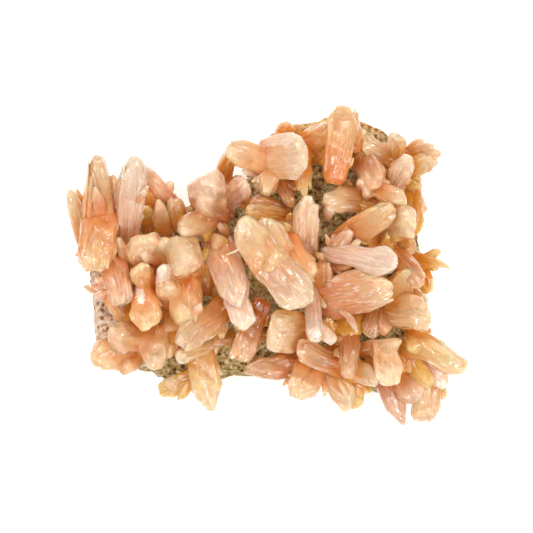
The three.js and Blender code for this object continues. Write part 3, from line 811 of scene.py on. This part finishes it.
# The west pillars
# Stout stilbite sheaves on the plate's west end, the tallest standing nearly upright, with a few
# blunt boulders of intergrown crystals at their feet.
grow_group("west_spire", [
    crystal((-50.4, 6, 13), (-50.4, 32.7, 33), (12.7, 6.7), 6.7, "round", "peach"),
    crystal((-46.5, 9, 13), (-46.2, 27.3, 27), (4.5, 4.5), 4.7, "round", "pink", 0.25),
    crystal((-49.8, 15.6, 23), (-51.3, 23.7, 33), (3.8, 3.2), 2.7, "wedge", "pink"),
    crystal((-49.2, 18, 19), (-51.6, -1.8, 29), (10.5, 11.4), 5.4, "round", "orange"),
    crystal((-52.2, 9, 15), (-56.1, 0.6, 20), (5.1, 4.1), 2.7, "wedge", "cream"),
    crystal((-49.8, 9, 11), (-50.4, 7.8, 24), (7, 7), 6.0, "blunt", "orange"),
    crystal((-54, 5.4, 13), (-58.8, 22.8, 22), (6, 5.1), 3.4, "round", "cream"),
    crystal((-51.6, 10.2, 16), (-57.3, 23.7, 18), (3.8, 3.8), 2.4, "wedge", "sand"),
    crystal((-50.4, 21, 27.4), (-51.9, 28.2, 33.9), (1.1, 1.1), 1.2, "blunt", "pink"),
])
grow_group("west_wall", [
    crystal((-46.2, 3, 19), (-43.2, -12.3, 25), (8.3, 7.6), 4.7, "blunt", "pink"),
    crystal((-44.7, -7.2, 21), (-54.9, -5.7, 19), (6.7, 3.8), 3.0, "wedge", "pink"),
    crystal((-48.6, -6, 20), (-43.8, -17.1, 16), (3.2, 3.5), 2.0, "wedge", "cream"),
    crystal((-45, -2.7, 11), (-44.7, -3.6, 22), (5.7, 5.7), 4.0, "blunt", "pink"),
])
grow_group("striped_pillar", [
    crystal((-42, 4.2, 13), (-39.6, 31.8, 38), (7, 8.6), 5.0, "round", "pearl", 0.3),
    crystal((-39, 19.5, 27), (-36, 22.8, 34), (1.6, 1.9), 1.7, "wedge", "pearl", 0.8),
    crystal((-38.7, 19.5, 29.3), (-35.7, 23.7, 34.4), (1.4, 1.4), 1.5, "blunt", "pearl"),
])
grow_group("slanted_pillar", [
    crystal((-27, 16.8, 12), (-38.4, 30.6, 33), (5.4, 4.1), 3.7, "skew", "pink", 0.35),
    crystal((-35.1, 10.2, 11), (-36, 18.9, 22), (6.4, 4.5), 3.0, "round", "amber"),
    crystal((-30.6, 9.6, 12), (-32.7, 19.8, 25), (6, 4.8), 3.4, "wedge", "cream"),
    crystal((-26.4, 11.4, 12), (-27.9, 19.8, 21), (5.7, 5.1), 3.7, "blunt", "sand"),
    crystal((-26.4, 12.6, 13), (-29.1, 15.3, 19), (1.9, 1.9), 1.3, "blunt", "pearl"),
    crystal((-33, 12, 12), (-36.6, 27, 25), (9.5, 4.8), 3.0, "round", "orange"),
])
grow_group("west_boulders", [
    crystal((-24, 0.6, 13), (-25.2, 4.8, 35), (10.8, 11.4), 11.4, "round", "peach"),
    crystal((-24.9, 1.2, 15), (-23.7, -18, 28), (10.8, 10.2), 6.0, "round", "orange"),
    crystal((-28.2, -10.8, 12), (-30.3, -5.4, 27), (7.6, 7), 6.0, "round", "peach"),
    crystal((-20.1, -15, 20), (-20.7, -11.1, 31), (3.2, 3.5), 3.0, "blunt", "pink"),
    crystal((-35.4, -2.4, 13), (-37.2, 9.3, 31), (8.3, 10.8), 5.4, "round", "peach"),
    crystal((-28.2, -2.4, 13), (-30.6, 8.4, 30), (7.3, 6.4), 4.7, "round", "peach"),
    crystal((-39.6, -3.6, 13), (-44.7, 8.4, 26), (3.8, 3.8), 3.0, "round", "pink"),
    crystal((-31.8, 1.2, 22), (-37.5, 3.6, 29), (3.2, 3.5), 2.4, "round", "pink"),
    crystal((-30.9, -6, 22), (-31.5, 0.3, 32), (4.5, 3.8), 2.4, "blunt", "pearl", 1.0),
    crystal((-28.8, -3, 22), (-32.4, -6.3, 28), (1.9, 2.2), 1.7, "blunt", "pink"),
    crystal((-18.6, -9, 12), (-18, 1.2, 22), (5.1, 4.1), 3.4, "round", "orange"),
], melted=True)

# The southwest lances
# Slim wedge-ended crystals that lean out to the southwest from a heap of small sheaves, grown on
# the crust between the pillars and the south edge.
grow_group("fan_sheaf", [
    crystal((-36.9, -3.6, 16), (-35.7, -19.2, 27), (4.5, 10.5), 4.0, "round", "orange"),
    crystal((-39.3, -3, 17), (-37.2, -10.5, 24), (1.9, 2.5), 2.0, "blunt", "pearl", 1.0),
    crystal((-34.2, -7.2, 13), (-38.7, 0.3, 28), (6.4, 7.6), 4.4, "round", "orange"),
], melted=True)
grow_group("southwest_lumps", [
    crystal((-37.2, -21.6, 14), (-47.4, -21.6, 26), (8.6, 9.5), 5.4, "round", "peach"),
    crystal((-38.4, -22.8, 13), (-51.6, -28.5, 23), (9.9, 10.5), 5.4, "round", "orange"),
    crystal((-39, -23.4, 12), (-43.5, -33, 19), (7, 6.4), 4.0, "round", "peach"),
    crystal((-34.8, -15, 14), (-33, -30.9, 26), (8.9, 9.9), 4.7, "wedge", "peach"),
    crystal((-30, -15.6, 14), (-28.8, -27.9, 22), (6.4, 6), 3.4, "round", "peach"),
    crystal((-41.4, -11.4, 12), (-41.1, -20.1, 18), (3.8, 4.1), 2.7, "round", "amber"),
    crystal((-28.8, -9.6, 12), (-28.5, -20.1, 21), (4.8, 4.5), 3.0, "round", "rose"),
], melted=True)
grow_group("recess_prisms", [
    crystal((-15.6, -7.2, 12), (-18.6, 6, 21), (6.4, 5.4), 4.0, "round", "amber"),
    crystal((-14.4, -11.4, 10), (-16.5, -5.4, 15), (5.1, 4.5), 2.7, "round", "pink"),
])
grow_group("southwest_lances", [
    crystal((-10.5, -9.6, 16), (-26.1, -23.7, 32), (7.3, 8.9), 4.4, "skew", "peach"),
    crystal((-9, -12, 15), (-22.8, -24, 28), (3.8, 4.1), 2.7, "wedge", "cream", 0.3),
])
grow_group("southwest_tooth", [
    crystal((-20.1, -24.6, 15), (-16.5, -43.5, 19), (8.6, 10.2), 5.0, "wedge", "straw"),
    crystal((-10.2, -20.1, 11), (-27.3, -27.6, 23), (4.5, 5.7), 3.0, "blunt", "straw", 0.4),
    crystal((-5.4, -18.6, 10), (-15.9, -22.8, 18), (5.1, 4.5), 2.7, "round", "rose"),
    crystal((-19.2, -32.7, 14), (-33, -37.5, 12), (5.7, 5.7), 3.4, "round", "amber"),
    crystal((-21.6, -34.5, 10), (-30.3, -34.8, 16), (3.8, 4.5), 2.4, "round", "cream"),
])

# The north crown
# A crown of broad stilbite blades round the north edge, twinned in places, whose ends rise over the
# plate's rim.
grow_group("twin_bones", [
    crystal((-10.8, 14.4, 15), (-20.4, 19.8, 33), (5.7, 5.7), 4.4, "round", "pink"),
    crystal((-13.5, 16.5, 17), (-26.1, 10.8, 31), (7, 7.6), 4.7, "round", "peach"),
    crystal((-12.6, 9, 11), (-19.2, 11.4, 22), (5.7, 7), 4.0, "round", "amber"),
    crystal((-17.1, 18, 13), (-18, 25.8, 35), (10.8, 11.1), 8.7, "round", "pink", 0.15),
    crystal((-13.8, 17.4, 14), (-5.4, 25.8, 29), (7.3, 7.6), 4.0, "blunt", "rose", 0.35),
    crystal((-1.2, 15.6, 12), (-7.8, 19.5, 20), (5.1, 4.5), 3.0, "round", "orange"),
], melted=True)
grow_group("grey_blade", [
    crystal((-14.1, 22.8, 12), (-11.1, 35.1, 24), (5.4, 5.1), 3.0, "skew", "sand"),
])
grow_group("north_crown", [
    crystal((-1.5, 32.1, 21), (12, 33.3, 38), (12.1, 14.3), 4.7, "blunt", "cream", 0.25),
    crystal((9.3, 38.4, 16), (11.4, 21.3, 27), (7, 7), 4.0, "wedge", "orange"),
    crystal((1.8, 31.8, 20), (-0.6, 20.4, 33), (5.1, 6), 4.0, "wedge", "peach"),
    crystal((3, 28.2, 18), (7.5, 17.7, 22), (4.1, 3.8), 3.4, "round", "rose"),
    crystal((4.2, 32.4, 11), (5.1, 32.4, 30), (8.3, 8.3), 6.7, "blunt", "orange"),
    crystal((5.7, 30, 18), (-11.4, 35.4, 33), (8, 8.3), 4.0, "blunt", "peach"),
    crystal((1.2, 29.4, 20), (-6.9, 28.2, 27), (3.2, 2.9), 2.0, "blunt", "pink", 0.6),
    crystal((6.3, 35.4, 11), (5.4, 43.5, 19), (5.7, 5.7), 3.4, "round", "sand"),
    crystal((-1.2, 29.4, 23.2), (-6.6, 27, 17.3), (1, 1), 1.0, "blunt", "pearl"),
])
grow_group("north_capsule", [
    crystal((9, 34.8, 13), (19.8, 41.7, 25), (7.6, 7.6), 4.4, "round", "peach"),
    crystal((11.4, 31.2, 12), (18, 36.6, 20), (5.7, 5.7), 3.4, "round", "orange"),
])
grow_group("north_tower", [
    crystal((19.8, 24.6, 28), (24, 48, 33), (6.7, 9.9), 5.0, "round", "orange"),
    crystal((26.4, 34.2, 21), (26.7, 47.1, 30), (4.1, 3.2), 2.7, "wedge", "cream"),
    crystal((23.4, 37.2, 10), (23.1, 37.8, 30), (6.4, 6.4), 4.7, "blunt", "orange"),
])

# The northeast cluster
# Thick slabs and rounded tongues of stilbite, honey coloured where the crust beneath is richest,
# grown side by side over the northeast corner.
grow_group("northeast_slab", [
    crystal((40.8, 30.6, 11), (28.5, 37.5, 22), (5.7, 6.4), 3.0, "blunt", "sand"),
    crystal((39, 30, 10), (39, 40.2, 19), (5.1, 5.7), 4.0, "round", "cream"),
])
grow_group("northeast_tongues", [
    crystal((40.8, 32.4, 12), (52.2, 35.1, 23), (5.1, 5.1), 2.7, "round", "sand"),
    crystal((40.8, 27.3, 13), (50.7, 33, 22), (6.7, 6.4), 3.4, "round", "cream"),
    crystal((42.6, 26.7, 12), (49.8, 30.9, 19), (2.5, 2.9), 2.0, "round", "sand"),
])
grow_group("northeast_shard", [
    crystal((37.5, 22.2, 10), (42, 32.7, 31), (6.4, 7), 4.0, "skew", "cream", 0.6),
])
grow_group("northeast_fan", [
    crystal((39, 29.4, 10), (46.2, 23.7, 18), (4.5, 4.8), 3.0, "blunt", "amber"),
])
grow_group("amber_lobe", [
    crystal((43.8, 24.6, 9), (44.4, 8.4, 15), (5.7, 7), 4.0, "round", "amber"),
    crystal((42, 19.2, 8), (47.4, 15.6, 12), (5.7, 6.4), 3.4, "round", "amber"),
], melted=True)
grow_group("northeast_mass", [
    crystal((28.2, 34.8, 12), (33, 24.3, 30), (8.9, 9.2), 5.0, "round", "rose"),
    crystal((28.2, 22.8, 14), (28.5, 25.5, 29), (3.8, 3.8), 3.0, "round", "pink"),
    crystal((30.6, 21, 14), (30, 23.1, 28), (4.1, 3.8), 3.4, "round", "pink"),
    crystal((28.8, 27, 18), (41.4, 18.6, 29), (5.7, 6), 4.0, "blunt", "peach"),
    crystal((33, 27, 12), (27.3, 33.6, 19), (6.4, 5.4), 4.0, "round", "orange"),
], melted=True)

# The east bars and blades
# Long bars and planks of stilbite that lie over the plate's east side, with short blocks wedged
# between them.
grow_group("long_bar", [
    crystal((33.6, 20.1, 13), (16.5, 19.8, 27), (7.6, 7.6), 4.0, "round", "sand"),
    crystal((18, 14.4, 15), (19.5, 18.3, 27), (3.5, 3.2), 2.7, "blunt", "pearl"),
    crystal((25.8, 19.8, 17), (24, 26.4, 19), (2.9, 2.9), 2.0, "round", "sand"),
    crystal((37.8, 15.6, 12), (27.6, 18.6, 21), (6.4, 5.4), 3.7, "round", "orange"),
])
grow_group("east_plank", [
    crystal((19.8, 5.7, 15), (37.2, 17.4, 33), (7.6, 8), 4.0, "blunt", "orange"),
    crystal((39.6, 6, 12), (36, 9, 24), (7, 7), 4.0, "round", "orange"),
])
grow_group("east_lump", [
    crystal((33.6, 11.7, 15), (44.1, 13.2, 31), (8.9, 10.5), 5.0, "blunt", "cream"),
], melted=True)
grow_group("east_capsule", [
    crystal((18.9, 2.7, 14), (24.9, 10.8, 28), (4.5, 4.8), 3.0, "round", "pink"),
])
grow_group("mirror_blade", [
    crystal((16.8, 4.8, 17), (38.7, 0.6, 37), (3.8, 8.9), 3.7, "blunt", "pearl", 0.6),
    crystal((19.2, 1.2, 13), (25.8, 0.9, 25), (3.8, 4.5), 2.7, "round", "rose"),
    crystal((21, -0.6, 12), (15.3, 4.2, 21), (3.8, 4.1), 3.0, "round", "sand"),
])
grow_group("east_blade", [
    crystal((15, -10.2, 14), (37.8, -5.4, 34), (12.7, 13.4), 4.7, "wedge", "orange", 0.3),
    crystal((16.8, -9.6, 13), (16.8, 1.8, 25), (5.4, 6.4), 3.7, "round", "rose"),
    crystal((23.7, -10.2, 23.5), (31.8, -7.8, 31.8), (1, 1), 1.0, "blunt", "pearl"),
])
grow_group("east_blocks", [
    crystal((36, -12, 14), (48.6, -15, 29), (10.2, 10.5), 5.4, "blunt", "cream"),
    crystal((40.8, -7.2, 14), (47.7, -12, 24), (4.5, 4.8), 3.0, "round", "sand"),
    crystal((41.1, -13.8, 12), (39.9, -1.5, 27), (8.3, 7.6), 4.0, "blunt", "sand"),
])
grow_group("east_diagonal", [
    crystal((33.3, 10.8, 13), (46.8, -6, 27), (5.1, 6.4), 3.7, "blunt", "rose"),
    crystal((39, 4.2, 12), (28.8, 9, 20), (7, 5.7), 3.7, "round", "orange"),
])
grow_group("east_small", [
    crystal((37.8, 3.3, 11), (44.1, 7.5, 21), (5.1, 6.4), 3.4, "round", "peach"),
])
grow_group("amber_spur", [
    crystal((42, 2.4, 8), (55.2, -0.3, 14), (8.9, 2.9), 4.0, "wedge", "amber"),
    crystal((46.2, 2.4, 7), (49.2, -8.4, 11), (5.1, 4.1), 3.0, "round", "amber"),
])

# The centre
# The largest doubly ended sheaf and its leaves, grown from the middle of the plate, over prisms
# that stay in shadow.
grow_group("shadow_prisms", [
    crystal((34.5, -9.9, 12), (30, -21.6, 20), (5.7, 5.7), 3.4, "blunt", "rose"),
    crystal((36.9, -9.3, 11), (35.4, -20.7, 21), (5.1, 5.1), 3.4, "round", "rose"),
])
grow_group("pink_stick", [
    crystal((21.6, -12, 20), (27.6, -19.5, 32), (2.2, 2.2), 2.0, "round", "pink", 0.4),
])
grow_group("south_post", [
    crystal((25.5, -19.2, 14), (24, -32.7, 34), (5.7, 5.7), 4.7, "round", "rose"),
    crystal((25.2, -10.8, 12), (25.2, -22.8, 19), (8.9, 8.3), 3.4, "round", "amber"),
    crystal((20.4, -25.2, 12), (19.2, -15, 18), (5.1, 4.8), 3.0, "round", "orange"),
])
grow_group("centre_sheaf", [
    crystal((1.2, -1.2, 27), (-8.1, 14.1, 39), (9.2, 9.5), 4.7, "round", "cream"),
    crystal((6.6, -0.6, 24), (-1.8, 14.4, 35), (8.9, 8.9), 4.0, "round", "cream"),
    crystal((-2.4, 4.2, 26), (12, -11.4, 37), (9.5, 13), 5.4, "round", "peach", 0.35),
    crystal((5.4, 8.4, 23), (14.4, -4.2, 33), (7, 7), 4.0, "blunt", "orange"),
    crystal((2.7, 1.2, 11), (1.8, 1.8, 34), (9.5, 9.5), 8.1, "blunt", "orange"),
    crystal((-6.9, 6.3, 36.3), (-12, 3.6, 37.6), (0.8, 0.8), 0.9, "blunt", "pearl"),
])
grow_group("centre_leaf", [
    crystal((7.2, 14.4, 15), (-6, 17.1, 30), (6.7, 4.8), 3.0, "round", "cream"),
    crystal((6.6, 15.6, 13), (-4.2, 20.4, 26), (6.4, 5.1), 4.0, "round", "rose"),
])
grow_group("ribbed_crystal", [
    crystal((11.1, 1.8, 14), (12.6, 21.6, 33), (8, 8.3), 4.4, "wedge", "cream", 0.45),
    crystal((10.8, 6.6, 15), (4.8, 12.6, 26), (3.2, 3.8), 2.0, "wedge", "cream"),
    crystal((9.6, 4.8, 12), (6.9, 16.2, 21), (4.8, 4.1), 3.0, "round", "orange"),
])
grow_group("pink_plank", [
    crystal((-16.5, 12, 13), (-7.8, -12, 32), (8.6, 10.2), 4.0, "round", "pink", 0.3),
    crystal((-10.5, -6, 24), (-6, -18.6, 31), (7.6, 8), 4.0, "blunt", "pearl", 0.45),
    crystal((-7.2, -9.6, 27), (-7.8, -19.8, 24), (6.4, 5.7), 4.7, "round", "amber"),
    crystal((-12, 9.9, 16), (-13.5, 12.3, 24), (3.2, 2.9), 2.7, "blunt", "pink"),
    crystal((-10.2, 1.2, 12), (-15.6, 9, 22), (7, 5.7), 3.7, "round", "orange"),
    crystal((-13.2, 1.2, 23.2), (-10.2, -6, 30.1), (1, 1), 1.1, "blunt", "pearl"),
])

# The south front
# Leaves, columns and blocks of stilbite that stand along the south edge and lean out over it.
grow_group("south_leaves", [
    crystal((-0.6, -9.6, 19), (-8.4, -29.1, 23), (6, 7.3), 3.4, "round", "rose"),
    crystal((-5.7, -19.2, 19), (-10.5, -28.2, 24.5), (3.2, 3.8), 2.4, "round", "pink"),
    crystal((-2.1, -18.6, 9), (-3, -19.2, 21), (4.1, 4.1), 3.0, "blunt", "rose"),
])
grow_group("south_spindle", [
    crystal((11.4, -28.8, 13), (-6.9, -31.5, 20), (7.6, 6.4), 4.4, "round", "rose"),
])
grow_group("south_dome", [
    crystal((12.9, -20.7, 16), (0.6, -19.2, 31), (11.4, 13), 5.0, "round", "cream"),
], melted=True)
grow_group("ribbed_column", [
    crystal((13.5, -4.8, 12), (14.7, -22.2, 35), (4.8, 5.1), 4.0, "blunt", "pearl", 0.7),
    crystal((14.1, -15.6, 29), (20.1, -23.1, 29), (2.9, 3.8), 2.4, "blunt", "pearl"),
])
grow_group("south_beam", [
    crystal((26.4, -32.1, 13), (9, -24, 29), (6.4, 7.6), 4.0, "blunt", "rose"),
    crystal((21, -31.8, 12), (16.8, -25.8, 21), (7, 6.4), 4.0, "round", "orange"),
])
grow_group("south_block", [
    crystal((15, -27.6, 13), (9, -39.6, 21), (11.8, 8.6), 5.0, "round", "peach"),
])
grow_group("south_legs", [
    crystal((18, -28.8, 14), (26.1, -43.2, 17), (6.7, 8), 3.7, "round", "cream"),
    crystal((25.5, -30, 13), (27.3, -42.6, 16), (5.7, 5.7), 3.0, "round", "amber"),
])
grow_group("south_pebble", [
    crystal((22.2, -29.7, 14), (34.2, -34.2, 26), (6.4, 6.7), 3.7, "round", "cream"),
], melted=True)

# The southeast corner
# A curled pair, a tusk and two spreading fans of stilbite at the plate's southeast corner.
grow_group("curl_pair", [
    crystal((27.6, -25.5, 14), (40.2, -22.8, 27), (4.5, 5.1), 4.0, "round", "sand"),
    crystal((35.1, -22.2, 20), (37.5, -36, 27), (7, 8.9), 4.7, "blunt", "cream"),
    crystal((31.2, -26.4, 12), (35.7, -32.1, 24), (3.8, 4.1), 2.7, "round", "peach"),
], melted=True)
grow_group("southeast_tusk", [
    crystal((41.4, -21.6, 14), (60, -30.6, 24), (8.9, 7.3), 5.0, "round", "straw"),
    crystal((46.8, -18, 12), (43.2, -25.8, 20), (5.7, 5.7), 3.4, "round", "amber"),
])
grow_group("southeast_fans", [
    crystal((35.4, -34.2, 12), (41.4, -47.7, 15), (6.7, 6.7), 4.7, "wedge", "rose", 0.4),
    crystal((39, -32.1, 12), (45.9, -40.5, 18.5), (8.3, 8), 4.4, "blunt", "pink"),
    crystal((48.9, -31.2, 15), (47.4, -47.7, 17), (7.3, 8.6), 4.4, "blunt", "cream"),
    crystal((41.1, -24.6, 11), (49.5, -36.9, 19), (5.1, 5.1), 3.7, "blunt", "amber"),
    crystal((44.4, -27.6, 12), (54, -36, 18), (5.7, 6.4), 2.7, "blunt", "pearl", 0.6),
    crystal((48.9, -34.2, 12.5), (53.4, -39.9, 14.5), (5.7, 4.8), 3.7, "round", "straw"),
    crystal((39.9, -22.2, 12), (43.8, -31.8, 16), (6.4, 7), 3.4, "round", "orange"),
])

for blank in (stout_blank, slender_blank):
    bpy.data.objects.remove(blank)

# The crevices' painted light and shade
# Between real crystals, light that has passed through them turns orange; here that orange is painted into
# the colour, so each point knows how deep it lies below the crystals round it. The canopy is their height
# over square cells, spread out and evened. The painted orange starts to deepen this far below it, in mm,
# and is deepest this much further down.
cell = 1.2 * mm
cells_wide = 130
even_rounds = 2
crevice_start = 1.5
crevice_depth = 8
canopy = np.zeros((cells_wide, cells_wide))


def cell_of(points):
    """The column and row of the canopy's cells that points stand in."""
    places = np.floor(points[:, :2] / cell).astype(int) + cells_wide // 2
    return np.clip(places, 0, cells_wide - 1).T


def around(heights):
    """The canopy moved one cell every way, with the canopy itself among them."""
    padded = np.pad(heights, 1, mode="edge")
    return [padded[i:i + cells_wide, j:j + cells_wide] for i in range(3) for j in range(3)]


for group in grown_groups:
    points = points_of(group.data)
    columns, rows = cell_of(points)
    np.maximum.at(canopy, (columns, rows), points[:, 2])
canopy = np.maximum.reduce(around(canopy))
for even_round in range(even_rounds):
    canopy = np.mean(around(canopy), axis=0)
for group in grown_groups:
    points = points_of(group.data)
    columns, rows = cell_of(points)
    below = (canopy[columns, rows] - points[:, 2]) / mm
    depth = np.clip((below - crevice_start) / crevice_depth, 0, 1)
    write_attribute(group.data, "crevice", "FLOAT", "POINT", depth)


# The floor, the light and the camera
# The specimen lies on a pale floor under soft white light from all round and lamps above it, and is seen
# from straight above through a long lens.
floor_size = 3.0
floor_drop = 0.5 * mm
bpy.ops.object.select_all(action="DESELECT")
bpy.ops.mesh.primitive_plane_add(size=floor_size, location=(0, 0, -floor_drop))
floor = bpy.context.object
floor.name = "floor"
floor_finish = bpy.data.materials.new("pale floor")
floor_finish.use_nodes = True
floor_shader = floor_finish.node_tree.nodes["Principled BSDF"]
floor_shader.inputs["Base Color"].default_value = (0.93, 0.93, 0.93, 1)
floor_shader.inputs["Roughness"].default_value = 0.9
floor_shader.inputs["Emission Color"].default_value = (1, 1, 1, 1)
floor_shader.inputs["Emission Strength"].default_value = 0.36
floor.data.materials.append(floor_finish)

world = bpy.data.worlds.new("studio")
bpy.context.scene.world = world
world.use_nodes = True
sky = world.node_tree.nodes["Background"]
sky.inputs["Color"].default_value = (1, 1, 1, 1)
sky.inputs["Strength"].default_value = 0.26

lamp_target = Vector((0, 0, 0.02))


def lamp(name, place, size, power):
    """A square soft lamp that points at the specimen, by its size in metres and its power in watts."""
    bpy.ops.object.light_add(type="AREA", location=place)
    light = bpy.context.object
    light.name = name
    light.data.size = size
    light.data.energy = power
    aim = lamp_target - Vector(place)
    light.rotation_euler = aim.to_track_quat("-Z", "Y").to_euler()
    return light


soft_fill = lamp("soft fill", (0.0, 0.0, 1.1), size=0.80, power=2.4)
# The crystals let light through, so this lamp casts no shadow and their crevices stay warm.
soft_fill.data.use_shadow = False
lamp("key lamp", (-0.30, 0.35, 0.80), size=0.40, power=0.5)
lamp("low lamp", (0.50, -0.25, 0.55), size=0.25, power=0.7)
# Lamps in two rings round the specimen, for the glints on its faces: each ring's radius, height and count
glint_rings = ((0.40, 0.85, 7), (0.75, 0.60, 9))
for ring, (radius, height, count) in enumerate(glint_rings):
    for index in range(count):
        turn = math.tau * (index + 0.4 + 0.3 * ring) / count
        place = (radius * math.cos(turn), radius * math.sin(turn), height)
        lamp(f"glint lamp {ring} {index}", place, size=0.09, power=0.55)

view_height = 2.0
subject_height = 0.022
photo_pixels = 533
pixel_size = 0.3
photo_width = photo_pixels * pixel_size * mm
sensor_width = 36
bpy.ops.object.camera_add(location=(0, 0, view_height), rotation=(0, 0, 0))
camera = bpy.context.object
camera.data.sensor_width = sensor_width
camera.data.lens = sensor_width * (view_height - subject_height) / photo_width
camera.data.clip_end = 10
bpy.context.scene.camera = camera
bpy.context.scene.view_settings.view_transform = "Standard"
